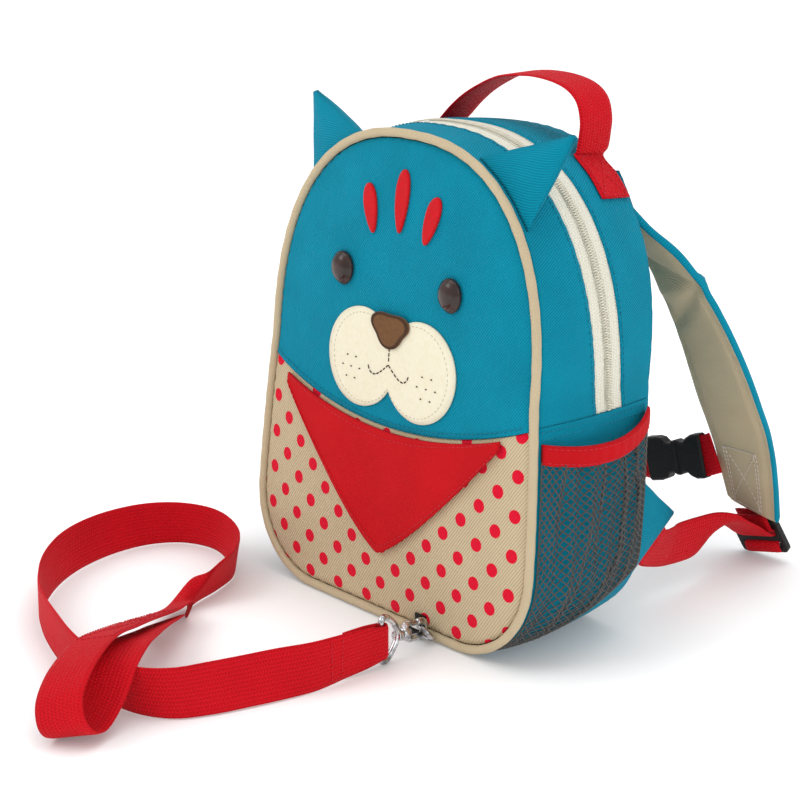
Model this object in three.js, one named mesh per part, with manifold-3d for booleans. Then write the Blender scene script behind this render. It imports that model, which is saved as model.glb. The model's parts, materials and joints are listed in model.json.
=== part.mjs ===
// Toddler harness backpack standing on the floor, millimetres, +Z up.
// The origin is under the middle of the bag's flat bottom; the front panel faces -Y.
import * as THREE from 'three'
import Module from 'manifold-3d'

const wasm = await Module()
wasm.setup()

// Driving dimensions of the bag body
const seamHeight = 271 // top of the front seam above the floor
const seamRise = 3 // the front seam clears the floor by this at the bottom
const bottomHalfWidth = 110
const springHalfWidth = 104 // where the sides turn into the arch
const springHeight = 145 // height of that turn above the floor
const cornerRadius = 49 // lower corners of the front outline
const archPower = 2.39 // squareness of the arch: 2 is an ellipse
const bagDepth = 87.4 // front seam to back seam at the floor
const frontLean = 0.085 // back-set of the front panel per mm of height
const backLean = 0.099
const backShare = 0.987 // the back outline as a share of the front one
const gussetPuff = 4 // how far the side cloth swells between its seams
const cloth = 1.6 // body cloth, with its backing
const seat = 0.3 // gap that touching pieces keep

// Front: seam between the face cloth and the dotted cloth, appliques
const collarCentreHeight = 112
const collarEdgeHeight = 132
const panelCrown = 5 // swell of the front panel in its middle
const crownReach = 26 // distance from the edge in which that swell grows
const feltThickness = 1.5
const pipingRadius = 2.5

// Gusset: zip opening over the arch, seam below it
const sideSeamHeight = 134
const zipTopShare = 0.405 // centre of the zip across the depth, at the top of the arch
const zipEndShare = 0.61 // and where it ends
const tapeWidth = 8
const coilWidth = 4.2
const coilHeight = 2.2

// Side pockets of net with a bound top edge
const bindingHeight = 11
const bindingThickness = 2.2
const pocketFrontHeight = 127
const pocketSag = 7 // how far the bound edge hangs between its ends
const pocketBackHeight = 131
const pocketBulge = 10
const netThickness = 1.2
const netColumns = 8
const netRows = 4

// Webbing, straps and hardware
const webbingWidth = 25
const webbingThickness = 1.5
const handleHeight = 297 // top of the hang loop
const handleHalfSpan = 53
const handleCentreDepth = 57
const strapWidth = 45
const strapThickness = 8
const strapTopOut = 46 // the straps' upper ends, out from the middle of the back
const strapTopHeight = 246
const strapEndOut = 86 // and their lower ends, on the floor behind the bag
const strapEndBack = 178.5
const strapEndHeight = 33
const lockBack = 187
const lockHeight = 14
const lockWidth = 33
const lockLength = 25
const lockThickness = 3.4
const buckleHeight = 27
const buckleThickness = 8

// Ears sewn into the front seam
const earTip = new THREE.Vector3(101, -3, 281)
const earWall = 1.6

const V = (x, y, z) => new THREE.Vector3(x, y, z)
const lerp = THREE.MathUtils.lerp
const clamp = THREE.MathUtils.clamp

// Cloth and hardware finishes
const finish = (color, roughness, metalness = 0) => new THREE.MeshStandardMaterial({ color, roughness, metalness })
const tealCloth = () => finish(0x0b8fae, 0.85)
const dottedCloth = () => finish(0xcdb48c, 0.85)
const redCloth = () => finish(0xd8202c, 0.8)
const redWebbing = () => finish(0xcf1633, 0.75)
const creamFelt = () => finish(0xeae4c9, 0.95)
const beigePiping = () => finish(0xc9b48f, 0.8)
const zipTape = () => finish(0xf0ead6, 0.7)
const darkNet = () => finish(0x3c4346, 0.6)
const blackPlastic = () => finish(0x15110f, 0.4)
const brownButton = () => finish(0x2a1712, 0.25)
const steel = () => finish(0xc4c6c8, 0.22, 1)

// A closed body from points and faces: points that coincide are joined, and it is turned outside out
function closedBody(points, faces) {
  const index = new Map()
  const kept = []
  const renumber = points.map((p) => {
    const key = [p.x, p.y, p.z].map((c) => Math.round(c * 500)).join(' ')
    if (!index.has(key)) {
      index.set(key, kept.length)
      kept.push(p)
    }
    return index.get(key)
  })
  const triangles = faces.map((face) => face.map((i) => renumber[i])).filter(([a, b, c]) => a !== b && b !== c && c !== a)
  const volume = triangles.reduce((sum, [a, b, c]) => sum + kept[a].dot(V(0, 0, 0).crossVectors(kept[b], kept[c])), 0)
  const ordered = volume < 0 ? triangles.map(([a, b, c]) => [a, c, b]) : triangles
  const body = new THREE.BufferGeometry()
  body.setAttribute('position', new THREE.Float32BufferAttribute(kept.flatMap((p) => [p.x, p.y, p.z]), 3))
  body.setIndex(ordered.flat())
  return body
}

// A body through a row of rings with the same number of points, closed on itself or capped at both ends
function loft(rings, closed = false) {
  const size = rings[0].length
  const faces = []
  const last = closed ? rings.length : rings.length - 1
  for (let r = 0; r < last; r++) {
    for (let k = 0; k < size; k++) {
      const a = r * size + k
      const b = r * size + ((k + 1) % size)
      const c = ((r + 1) % rings.length) * size + k
      const d = ((r + 1) % rings.length) * size + ((k + 1) % size)
      faces.push([a, b, d], [a, d, c])
    }
  }
  if (!closed) {
    const end = (rings.length - 1) * size
    for (let k = 1; k < size - 1; k++) faces.push([0, k + 1, k], [end, end + k, end + k + 1])
  }
  return closedBody(rings.flat(), faces)
}

// A wall between an outer and an inner surface over a grid of u and v; wrap joins the ends of u, hole skips cells
function wall(columns, rows, outer, inner, { wrap = false, hole = () => false } = {}) {
  const points = []
  const across = wrap ? columns : columns + 1
  for (const side of [outer, inner]) {
    for (let j = 0; j <= rows; j++) {
      for (let i = 0; i < across; i++) points.push(side(i / columns, j / rows))
    }
  }
  const half = across * (rows + 1)
  const at = (i, j) => j * across + (wrap ? i % columns : i)
  const solid = (i, j) => {
    const column = wrap ? (i + columns) % columns : i
    return column >= 0 && column < columns && j >= 0 && j < rows && !hole(column, j)
  }
  const faces = []
  for (let j = 0; j < rows; j++) {
    for (let i = 0; i < columns; i++) {
      if (!solid(i, j)) continue
      const [a, b, c, d] = [at(i, j), at(i + 1, j), at(i + 1, j + 1), at(i, j + 1)]
      faces.push([a, b, c], [a, c, d], [a + half, c + half, b + half], [a + half, d + half, c + half])
      const edges = [[a, b, i, j - 1], [b, c, i + 1, j], [c, d, i, j + 1], [d, a, i - 1, j]]
      for (const [p, q, column, row] of edges) {
        if (!solid(column, row)) faces.push([p, p + half, q + half], [p, q + half, q])
      }
    }
  }
  return closedBody(points, faces)
}

// three.js bodies into manifold solids and back, for cuts and joins
function toSolid(body) {
  const source = body.index ? body : closedBody(vertexList(body), triangleList(body))
  return new wasm.Manifold(new wasm.Mesh({
    numProp: 3,
    vertProperties: new Float32Array(source.attributes.position.array),
    triVerts: new Uint32Array(source.index.array),
  }))
}
function fromSolid(solid) {
  const mesh = solid.getMesh()
  const points = []
  for (let i = 0; i < mesh.vertProperties.length; i += mesh.numProp) {
    points.push(V(...mesh.vertProperties.slice(i, i + 3)))
  }
  const faces = []
  for (let i = 0; i < mesh.triVerts.length; i += 3) faces.push([...mesh.triVerts.slice(i, i + 3)])
  return closedBody(points, faces)
}
function vertexList(body) {
  const position = body.attributes.position
  return Array.from({ length: position.count }, (_, i) => V(0, 0, 0).fromBufferAttribute(position, i))
}
function triangleList(body) {
  const order = body.index ? [...body.index.array] : Array.from({ length: body.attributes.position.count }, (_, i) => i)
  return Array.from({ length: order.length / 3 }, (_, i) => order.slice(3 * i, 3 * i + 3))
}
const welded = (body) => closedBody(vertexList(body), triangleList(body))
const mirrored = (body) => closedBody(vertexList(body).map((p) => V(-p.x, p.y, p.z)), triangleList(body))

const model = new THREE.Group()
function add(name, body, material, parent = model) {
  const mesh = new THREE.Mesh(body, material)
  mesh.name = name
  parent.add(mesh)
  return mesh
}
// A right-hand piece and its mirror image
function addPair(name, body, material) {
  add(`${name}_right`, body, material())
  add(`${name}_left`, mirrored(body), material())
}

// Outline of the bag seen from the front, by share of its length: 0 is the bottom middle, 0.25 lies on the +X side
class BagOutline extends THREE.Curve {
  getPoint(t, target = new THREE.Vector3()) {
    const turn = t - Math.floor(t)
    const half = turn <= 0.5 ? turn * 2 : (1 - turn) * 2
    const side = turn <= 0.5 ? 1 : -1
    const cornerTop = seamRise + cornerRadius
    let x
    let z
    if (half < 0.2) {
      x = (half / 0.2) * (bottomHalfWidth - cornerRadius)
      z = seamRise
    } else if (half < 0.4) {
      const angle = ((half - 0.2) / 0.2) * (Math.PI / 2)
      x = bottomHalfWidth - cornerRadius * (1 - Math.sin(angle))
      z = cornerTop - cornerRadius * Math.cos(angle)
    } else if (half < 0.6) {
      const rise = (half - 0.4) / 0.2
      x = bottomHalfWidth + (springHalfWidth - bottomHalfWidth) * rise ** 1.5
      z = lerp(cornerTop, springHeight, rise)
    } else {
      const angle = ((half - 0.6) / 0.4) * (Math.PI / 2)
      x = springHalfWidth * Math.max(0, Math.cos(angle)) ** (2 / archPower)
      z = springHeight + (seamHeight - springHeight) * Math.sin(angle) ** (2 / archPower)
    }
    return target.set(side * x, 0, z)
  }
}
const outline = new BagOutline()
outline.arcLengthDivisions = 600
const outlineLength = outline.getLength()
const outlineCycle = (s) => s - Math.floor(s)
const outlinePoint = (s) => outline.getPointAt(outlineCycle(s))
function outlineNormal(s) {
  const step = 0.004
  const along = outlinePoint(s + step).sub(outlinePoint(s - step)).normalize()
  return V(along.z, 0, -along.x)
}
// Share of the outline, on the +X side, where it reaches a height
function shareAtHeight(height) {
  let low = 0.04
  let high = 0.5
  for (let i = 0; i < 40; i++) {
    const middle = (low + high) / 2
    if (outlinePoint(middle).z < height) low = middle
    else high = middle
  }
  return (low + high) / 2
}

// The bag's side surface: s goes round the outline, t from the front seam to the back seam, proud is outward
const frontDepth = (z) => -bagDepth / 2 + frontLean * z
const backDepth = (z) => bagDepth / 2 + backLean * z
function sideSurface(s, t, proud = 0) {
  const ring = outlinePoint(s)
  const normal = outlineNormal(s)
  const swell = gussetPuff * 4 * t * (1 - t) + proud
  const x = ring.x * lerp(1, backShare, t) + normal.x * swell
  const z = Math.max(ring.z * lerp(1, backShare, t) + normal.z * swell, -Math.min(proud, 0))
  return V(x, lerp(frontDepth(z), backDepth(z), t), z)
}

// The front panel's surface at x, z: it swells away from its edge, proud is towards the front
const edgeSamples = Array.from({ length: 96 }, (_, i) => outlinePoint(i / 96))
function edgeDistance(x, z) {
  return Math.min(...edgeSamples.map((p) => Math.hypot(p.x - x, p.z - z)))
}
function frontPoint(x, z, proud = 0) {
  const crown = panelCrown * (1 - Math.exp(-edgeDistance(x, z) / crownReach))
  return V(x, frontDepth(z) - crown - proud, z)
}
function insetOutline(s, inset) {
  const ring = outlinePoint(s)
  const normal = outlineNormal(s)
  return V(ring.x - normal.x * inset, 0, ring.z - normal.z * inset)
}

// Front panel in two cloths that meet at the collar seam
const panelInset = pipingRadius + seat
const collarShare = shareAtHeight(collarEdgeHeight)
const collarHalfWidth = insetOutline(collarShare, panelInset).x
const collarSeam = (x) => lerp(collarCentreHeight, collarEdgeHeight, (x / collarHalfWidth) ** 2)
function frontCloth(upper) {
  const side = upper ? 1 : -1
  const place = (proud) => (u, v) => {
    const share = upper ? lerp(1 - collarShare, collarShare, u) : lerp(-collarShare, collarShare, u)
    const rim = insetOutline(share, panelInset)
    const x = lerp(-collarHalfWidth, collarHalfWidth, u)
    const seam = V(x, 0, collarSeam(x) + (side * seat) / 2)
    const at = seam.lerp(rim, v)
    return frontPoint(at.x, at.z, proud)
  }
  return wall(22, 5, place(0), place(-cloth))
}
add('front_panel', frontCloth(true), tealCloth())
add('lower_front_panel', frontCloth(false), dottedCloth())

// Felt and cloth pieces sewn on the front: an outline of x, z points round a middle, laid on the panel
function applique(middle, rim, thickness, rows = 2) {
  const place = (proud) => (u, v) => {
    const edge = rim(u)
    return frontPoint(lerp(middle.x, edge.x, v), lerp(middle.z, edge.z, v), proud)
  }
  return wall(rim.steps, rows, place(seat + thickness), place(seat), { wrap: true })
}
const around = (steps, shape) => Object.assign((u) => shape(u * Math.PI * 2), { steps })

// Two round lobes of cream felt make the muzzle
const muzzleHeight = 147
const lobeRadius = 27
const lobeOffset = 24
function muzzleRim(angle) {
  const side = Math.cos(angle) >= 0 ? 1 : -1
  const reach = lobeOffset * Math.abs(Math.cos(angle))
  const length = reach + Math.sqrt(lobeRadius ** 2 - (lobeOffset * Math.sin(angle)) ** 2 * 0.9)
  return { x: side * Math.abs(length * Math.cos(angle)), z: muzzleHeight + length * Math.sin(angle) }
}
add('muzzle_patch', applique({ x: 0, z: muzzleHeight }, around(32, muzzleRim), feltThickness), creamFelt())

// Small nose of brown felt on top of the muzzle
const noseHalfWidth = 14
const noseHeight = 19
const noseCentre = muzzleHeight + 20
function noseRim(angle) {
  const rounding = 1 + 0.16 * Math.cos(3 * (angle + Math.PI / 2))
  return {
    x: noseHalfWidth * rounding * Math.cos(angle),
    z: noseCentre + (noseHeight / 2) * rounding * Math.sin(angle),
  }
}
{
  const place = (proud) => (u, v) => {
    const edge = noseRim(u * Math.PI * 2)
    return frontPoint(edge.x * v, lerp(noseCentre, edge.z, v), proud)
  }
  const noseSeat = feltThickness + 2 * seat
  add('nose_patch', wall(18, 1, place(noseSeat + feltThickness), place(noseSeat), { wrap: true }), finish(0x5b3a1e, 0.9))
}

// Domed shank buttons for eyes
const buttonHalfWidth = 8.2
const buttonHalfHeight = 9.4
const buttonDome = 6
const buttonPlace = { x: 43, z: 193 }
{
  const rings = [[1, 0], [1.0, 0.25], [0.86, 0.62], [0.5, 0.92]]
  const middle = frontPoint(buttonPlace.x, buttonPlace.z, 0)
  const ring = ([size, height]) => Array.from({ length: 16 }, (_, k) => {
    const angle = (k / 16) * Math.PI * 2
    const x = middle.x + buttonHalfWidth * size * Math.cos(angle)
    const z = middle.z + buttonHalfHeight * size * Math.sin(angle)
    return height === 0 ? frontPoint(x, z, seat) : V(x, frontPoint(x, z, seat).y - height * buttonDome, z)
  })
  addPair('eye_button', loft(rings.map(ring)), brownButton)
}

// Three red felt stripes on the forehead
const stripeWidth = 10
const stripes = [['middle', 0, 236, 34], ['right', 24, 229, 27], ['left', -24, 229, 27]]
for (const [side, x, z, length] of stripes) {
  const tilt = x / 90
  const rim = (angle) => {
    const across = (stripeWidth / 2) * Math.cos(angle) * (1 + 0.25 * Math.sin(angle))
    const along = (length / 2) * Math.sin(angle)
    return { x: x + across * Math.cos(tilt) + along * Math.sin(tilt), z: z + along * Math.cos(tilt) - across * Math.sin(tilt) }
  }
  add(`forehead_stripe_${side}`, applique({ x, z }, around(16, rim), feltThickness, 1), redCloth())
}

// Red neckerchief hanging from the collar seam
const kerchiefHalfWidth = 86
const kerchiefTip = 40
{
  const top = (x) => collarSeam(x) - 2
  const place = (proud) => (u, v) => {
    const x = lerp(-kerchiefHalfWidth, kerchiefHalfWidth, u)
    const share = Math.abs(x) / kerchiefHalfWidth
    const hem = lerp(kerchiefTip, top(kerchiefHalfWidth) - 5, share ** 1.25)
    return frontPoint(x, lerp(top(x), Math.min(hem, top(x) - 3), v), proud)
  }
  add('neckerchief', wall(20, 4, place(seat + cloth), place(seat)), redCloth())
}

// Corded piping all round the front seam
{
  const steps = 50
  const rings = Array.from({ length: steps }, (_, i) => {
    const s = i / steps
    const centre = outlinePoint(s)
    const normal = outlineNormal(s)
    return Array.from({ length: 6 }, (_, k) => {
      const angle = ((k + 0.5) / 6) * Math.PI * 2
      const out = pipingRadius * Math.cos(angle)
      return V(centre.x + normal.x * out, frontDepth(centre.z) + pipingRadius * Math.sin(angle), centre.z + normal.z * out)
    })
  })
  add('front_piping', loft(rings, true), beigePiping())
}

// Gusset cloth, zip tapes and coil over the arch; lower gusset and bottom below the side seam
const seamShare = shareAtHeight(sideSeamHeight)
const frontEdge = (pipingRadius + seat) / bagDepth
const backEdge = 1
function zipShare(s) {
  const height = outlinePoint(s).z
  return lerp(zipEndShare, zipTopShare, clamp((height - sideSeamHeight) / (seamHeight - sideSeamHeight), 0, 1))
}
const across = (millimetres) => millimetres / bagDepth
function gussetStrip(from, to, thickness, rows, proud = 0, steps = 34) {
  const place = (out) => (u, v) => {
    const s = lerp(seamShare + seat / outlineLength, 1 - seamShare - seat / outlineLength, u)
    return sideSurface(s, lerp(from(s), to(s), v), out)
  }
  return wall(steps, rows, place(proud), place(proud - thickness))
}
const zipHalf = across(coilWidth / 2 + seat + tapeWidth)
const coilHalf = across(coilWidth / 2)
add('gusset_front', gussetStrip(() => frontEdge, (s) => zipShare(s) - zipHalf - across(seat), cloth, 2), tealCloth())
add('gusset_back', gussetStrip((s) => zipShare(s) + zipHalf + across(seat), () => backEdge, cloth, 2), tealCloth())
const tapeDrop = -0.5
add('zip_tape_front', gussetStrip((s) => zipShare(s) - zipHalf, (s) => zipShare(s) - coilHalf - across(seat), 1, 1, tapeDrop), zipTape())
add('zip_tape_back', gussetStrip((s) => zipShare(s) + coilHalf + across(seat), (s) => zipShare(s) + zipHalf, 1, 1, tapeDrop), zipTape())
add('zip_coil', gussetStrip((s) => zipShare(s) - coilHalf, (s) => zipShare(s) + coilHalf, coilHeight, 1, 0.4), zipTape())
{
  const place = (out) => (u, v) => sideSurface(lerp(-seamShare, seamShare, u), lerp(frontEdge, backEdge, v), out)
  add('gusset_lower', wall(37, 5, place(0), place(-cloth)), tealCloth())
}

// Zip slider with its pull, parked at the closed end on the far side
{
  const s = 1 - seamShare - 9 / outlineLength
  const half = across(4)
  const place = (out) => (u, v) => sideSurface(s + (u - 0.5) * (10 / outlineLength), zipShare(s) + lerp(-half, half, v), out)
  const pull = (out) => (u, v) => sideSurface(s + lerp(0, 24, u) / outlineLength, zipShare(s) + lerp(-half, half, v) * 0.7, out)
  const slider = toSolid(wall(2, 2, place(3), place(0.4 + seat)))
  const tab = toSolid(wall(4, 1, pull(4.4), pull(2.6)))
  add('zip_slider', fromSolid(slider.add(tab)), steel())
}

// Padded back panel: thin at its rim, thickest in its middle
const backPad = 3.2
const backRim = 1.6
const backReach = 14
const backRimShare = backShare - 0.006
function backPoint(x, z, proud = 0) {
  const swell = (backPad - backRim) * (1 - Math.exp(-edgeDistance(x / backRimShare, z / backRimShare) / backReach))
  return V(x, backDepth(z) + seat + backRim + swell + proud, z)
}
{
  const middleHeight = seamHeight / 2
  const place = (outer) => (u, v) => {
    const ring = outlinePoint(u)
    const x = ring.x * backRimShare * v
    const z = lerp(middleHeight, ring.z * backRimShare, v)
    return outer ? backPoint(x, z) : V(x, backDepth(z) + seat, z)
  }
  add('back_panel', wall(32, 3, place(true), place(false), { wrap: true }), tealCloth())
}

// Ears: hollow triangular cones of body cloth, sewn along two feet in the front seam and one on the gusset
{
  const feet = [[0.447, 0.05], [0.381, 0.05], [0.418, 0.36]]
  const centre = [0, 1].map((k) => (feet[0][k] + feet[1][k] + feet[2][k]) / 3)
  const middle = sideSurface(...centre)
  const footRadius = 20
  const cornerRound = 0.1
  function foot(u, inset) {
    const leg = Math.floor(u * 3) % 3
    const along = u * 3 - Math.floor(u * 3)
    const [a, b] = [feet[leg], feet[(leg + 1) % 3]]
    const pull = cornerRound * (1 - Math.min(1, 6.4 * along * (1 - along))) + inset / footRadius
    const [s, t] = [0, 1].map((k) => lerp(lerp(a[k], b[k], along), centre[k], pull))
    return sideSurface(s, t, seat)
  }
  const innerTip = V(0, 0, 0).lerpVectors(earTip, middle, (earWall * 4) / earTip.distanceTo(middle))
  const skin = (inset) => (u, v) => {
    const base = foot(u, inset)
    const tip = inset > 0 ? innerTip : earTip
    const blunt = V(0, 0, 0).subVectors(base, middle).setLength(inset > 0 ? 0 : earWall).add(tip)
    return base.lerp(blunt, v)
  }
  const columns = 18
  const rows = 4
  const points = []
  for (const inset of [0, earWall]) {
    for (let j = 0; j <= rows; j++) {
      for (let i = 0; i < columns; i++) points.push(skin(inset)(i / columns, j / rows))
    }
    points.push(inset > 0 ? innerTip : earTip)
  }
  const half = columns * (rows + 1) + 1
  const faces = []
  for (let i = 0; i < columns; i++) {
    const n = (i + 1) % columns
    for (let j = 0; j < rows; j++) {
      const [a, b, c, d] = [j * columns + i, j * columns + n, (j + 1) * columns + n, (j + 1) * columns + i]
      faces.push([a, b, c], [a, c, d], [a + half, c + half, b + half], [a + half, d + half, c + half])
    }
    const top = rows * columns
    faces.push([top + i, top + n, half - 1], [half + top + i, 2 * half - 1, half + top + n])
    faces.push([i, half + i, half + n], [i, half + n, n])
  }
  addPair('ear', closedBody(points, faces), tealCloth)
}

// Side pockets: net cut through between its cords, bulging off the gusset, with a bound top edge
const pocketFloorShare = 0.095
const pocketBase = 0.8
const pocketFrontEdge = frontEdge + 0.012
const pocketBackEdge = 0.985
const pocketTop = (t) => lerp(pocketFrontHeight, pocketBackHeight, t) - pocketSag * 4 * t * (1 - t)
function pocketSurface(s, t, proud) {
  const rise = clamp((s - pocketFloorShare) / 0.06, 0, 1)
  const open = Math.sin(Math.PI * clamp((t - pocketFrontEdge) / (pocketBackEdge - pocketFrontEdge), 0, 1))
  return sideSurface(s, t, seat + pocketBase + pocketBulge * rise * open ** 0.8 + proud)
}
{
  const cordShare = 0.3
  const gridLine = (k, holes) => {
    const pitch = 1 / (holes + cordShare)
    return (Math.floor(k / 2) + (k % 2) * cordShare) * pitch
  }
  const columns = 2 * netColumns + 1
  const rows = 2 * netRows + 1
  const place = (proud) => (u, v) => {
    const t = lerp(pocketFrontEdge, pocketBackEdge, gridLine(Math.round(u * columns), netColumns))
    const top = shareAtHeight(pocketTop(t) - bindingHeight - seat)
    return pocketSurface(lerp(pocketFloorShare, top, gridLine(Math.round(v * rows), netRows)), t, proud)
  }
  const hole = (i, j) => i % 2 === 1 && j % 2 === 1
  addPair('pocket_net', wall(columns, rows, place(netThickness), place(0), { hole }), darkNet)
}
{
  const place = (proud) => (u, v) => {
    const t = lerp(pocketFrontEdge, pocketBackEdge, u)
    const low = shareAtHeight(pocketTop(t) - bindingHeight)
    return pocketSurface(lerp(low, shareAtHeight(pocketTop(t)), v), t, proud)
  }
  addPair('pocket_binding', wall(14, 1, place(bindingThickness), place(0)), redCloth)
}

// A strap through rows of centre, width vector; its faces lie half a thickness to each side
function ribbon(rows, thickness) {
  const centres = rows.map((row) => row[0])
  const rings = rows.map(([centre, width], i) => {
    const before = centres[Math.max(0, i - 1)]
    const after = centres[Math.min(centres.length - 1, i + 1)]
    const face = V(0, 0, 0).crossVectors(V(0, 0, 0).subVectors(after, before), width).setLength(thickness / 2)
    const half = width.clone().multiplyScalar(0.5)
    return [[1, 1], [-1, 1], [-1, -1], [1, -1]].map(([a, b]) => (
      centre.clone().addScaledVector(half, a).addScaledVector(face, b)))
  })
  return loft(rings)
}

// Hang loop of webbing: flat sewn ends on the rear gusset, and a skewed arch between them
const handleShare = 0.85
{
  const faceOut = seat + webbingThickness / 2
  const flatEnd = [0.396, 0.414, 0.43]
  const sewn = (s) => {
    const rear = sideSurface(s, handleShare + 0.13, faceOut + seat)
    const front = sideSurface(s, handleShare - 0.13, faceOut + seat)
    return [sideSurface(s, handleShare, faceOut + seat), rear.sub(front).setLength(webbingWidth)]
  }
  // Columns: share of the half span, share of the height from the gusset's top line to the loop's top
  const arch = [
    [1.1, 0.06], [1.13, 0.28], [1.14, 0.5], [1.08, 0.75], [0.92, 0.91], [0.66, 0.99], [0.32, 1],
    [-0.06, 0.92], [-0.34, 0.76], [-0.57, 0.58], [-0.76, 0.38], [-0.9, 0.2], [-1.02, 0.06],
  ]
  const foot = handleHeight - 39
  const arc = arch.map(([span, rise]) => (
    [V(handleHalfSpan * span, handleCentreDepth, lerp(foot, handleHeight, rise) + faceOut), V(0, webbingWidth, 0)]))
  const rows = [...flatEnd.map(sewn), ...arc, ...flatEnd.map((s) => sewn(1 - s)).reverse()]
  add('top_handle', ribbon(rows, webbingThickness), redWebbing())
}

// Padded shoulder straps, from the back panel's top down to the floor behind the bag
const strapTop = V(strapTopOut, backDepth(strapTopHeight), strapTopHeight)
const strapEnd = V(strapEndOut, strapEndBack, strapEndHeight)
// Columns: share of the drop, of the way out and of the way back; turn about Z and lift of the outer edge, degrees
const strapRows = [
  [0.01, -0.03, -0.06, -30, 8], [0.05, 0.12, 0.05, -30, 9], [0.14, 0.42, 0.165, -28, 10],
  [0.22, 0.71, 0.28, -24, 13], [0.305, 0.89, 0.37, -17, 11], [0.39, 1.0, 0.45, -11, 9],
  [0.475, 1.07, 0.53, -6, 6], [0.56, 1.1, 0.61, -2, 5], [0.65, 1.1, 0.7, 1, 3], [0.73, 1.08, 0.79, 1, 2],
  [0.82, 1.06, 0.87, -2, 0], [0.91, 1.02, 0.94, -6, -2], [1, 1, 1, -12, -3],
]
const degrees = Math.PI / 180
const strapStations = strapRows.map(([drop, out, back, turn, lift]) => ({
  centre: V(lerp(strapTop.x, strapEnd.x, out), lerp(strapTop.y, strapEnd.y, back), lerp(strapTop.z, strapEnd.z, drop)),
  width: V(Math.cos(turn * degrees), Math.sin(turn * degrees), Math.sin(lift * degrees)).normalize(),
}))
{
  const rings = strapStations.map(({ centre, width }, i) => {
    const before = strapStations[Math.max(0, i - 1)].centre
    const after = strapStations[Math.min(strapStations.length - 1, i + 1)].centre
    const face = V(0, 0, 0).crossVectors(V(0, 0, 0).subVectors(after, before), width).normalize()
    return Array.from({ length: 10 }, (_, k) => {
      const angle = ((k + 0.5) / 10) * Math.PI * 2
      const bow = (value) => Math.sign(value) * Math.abs(value) ** 0.7
      const out = (strapWidth / 2) * bow(Math.cos(angle))
      const up = (strapThickness / 2) * bow(Math.sin(angle))
      return centre.clone().addScaledVector(width, out).addScaledVector(face, up)
    })
  })
  // The strap's top is cut to meet the back panel
  const half = 110
  const keepOut = wall(10, 4, (u, v) => backPoint(lerp(-half, half, u) * 0.9, lerp(150, seamHeight, v), seat),
    (u, v) => V(lerp(-half, half, u) * 0.9, 0, lerp(150, seamHeight, v)))
  addPair('shoulder_strap', fromSolid(toSolid(loft(rings)).subtract(toSolid(keepOut))), tealCloth)
}

// Ladder lock under each strap end: a plate with two slots, on its own axes
const lockCentre = V(strapEndOut, lockBack, lockHeight)
const lockAcross = V(0.97, 0.05, 0.22).normalize()
const lockUp = V(0, 0, 0).subVectors(V(84, 178, 32.5), lockCentre)
lockUp.addScaledVector(lockAcross, -lockUp.dot(lockAcross)).normalize()
const lockFace = V(0, 0, 0).crossVectors(lockAcross, lockUp)
const onLock = (along, out, side = 0) => lockCentre.clone()
  .addScaledVector(lockUp, along).addScaledVector(lockFace, out).addScaledVector(lockAcross, side)
const slotMargin = 0.6
const lockSlots = [[-6.25, -1.75], [1.75, 7.75]]
const lockEnds = [-10.75, lockLength - 12.75]
{
  const plate = new THREE.Shape()
  const half = lockWidth / 2
  const corner = 3
  plate.moveTo(-half + corner, lockEnds[0])
  plate.lineTo(half - corner, lockEnds[0])
  plate.quadraticCurveTo(half, lockEnds[0], half, lockEnds[0] + corner)
  plate.lineTo(half, lockEnds[1] - corner)
  plate.quadraticCurveTo(half, lockEnds[1], half - corner, lockEnds[1])
  plate.lineTo(-half + corner, lockEnds[1])
  plate.quadraticCurveTo(-half, lockEnds[1], -half, lockEnds[1] - corner)
  plate.lineTo(-half, lockEnds[0] + corner)
  plate.quadraticCurveTo(-half, lockEnds[0], -half + corner, lockEnds[0])
  for (const [low, high] of lockSlots) {
    const reach = webbingWidth / 2 + slotMargin
    const slot = new THREE.Path()
    slot.moveTo(-reach, low)
    slot.lineTo(-reach, high)
    slot.lineTo(reach, high)
    slot.lineTo(reach, low)
    plate.holes.push(slot)
  }
  const body = new THREE.ExtrudeGeometry(plate, { depth: lockThickness, bevelEnabled: false, curveSegments: 3 })
  body.translate(0, 0, -lockThickness / 2)
  body.applyMatrix4(new THREE.Matrix4().makeBasis(lockAcross, lockUp, lockFace).setPosition(lockCentre))
  addPair('ladder_lock', welded(body), blackPlastic)
}
const overPlate = lockThickness / 2 + seat + webbingThickness / 2
{
  // Short loop of webbing from the strap's end round the upper bar of the lock
  const bar = lockSlots[1][1]
  const strapFoot = strapEnd.distanceTo(lockCentre) - 2
  const path = [
    [strapFoot, overPlate], [bar + 0.4, overPlate + 0.1], [bar - 0.75, overPlate - 0.2], [bar - 1.1, overPlate - 1],
    [bar - 1.1, 1 - overPlate], [bar - 0.75, 0.2 - overPlate], [bar + 0.4, -overPlate - 0.1], [strapFoot, -overPlate],
  ]
  const rows = path.map(([along, out]) => [onLock(along, out), lockAcross.clone().multiplyScalar(webbingWidth)])
  addPair('lock_loop', ribbon(rows, webbingThickness), redWebbing)
}

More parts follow.
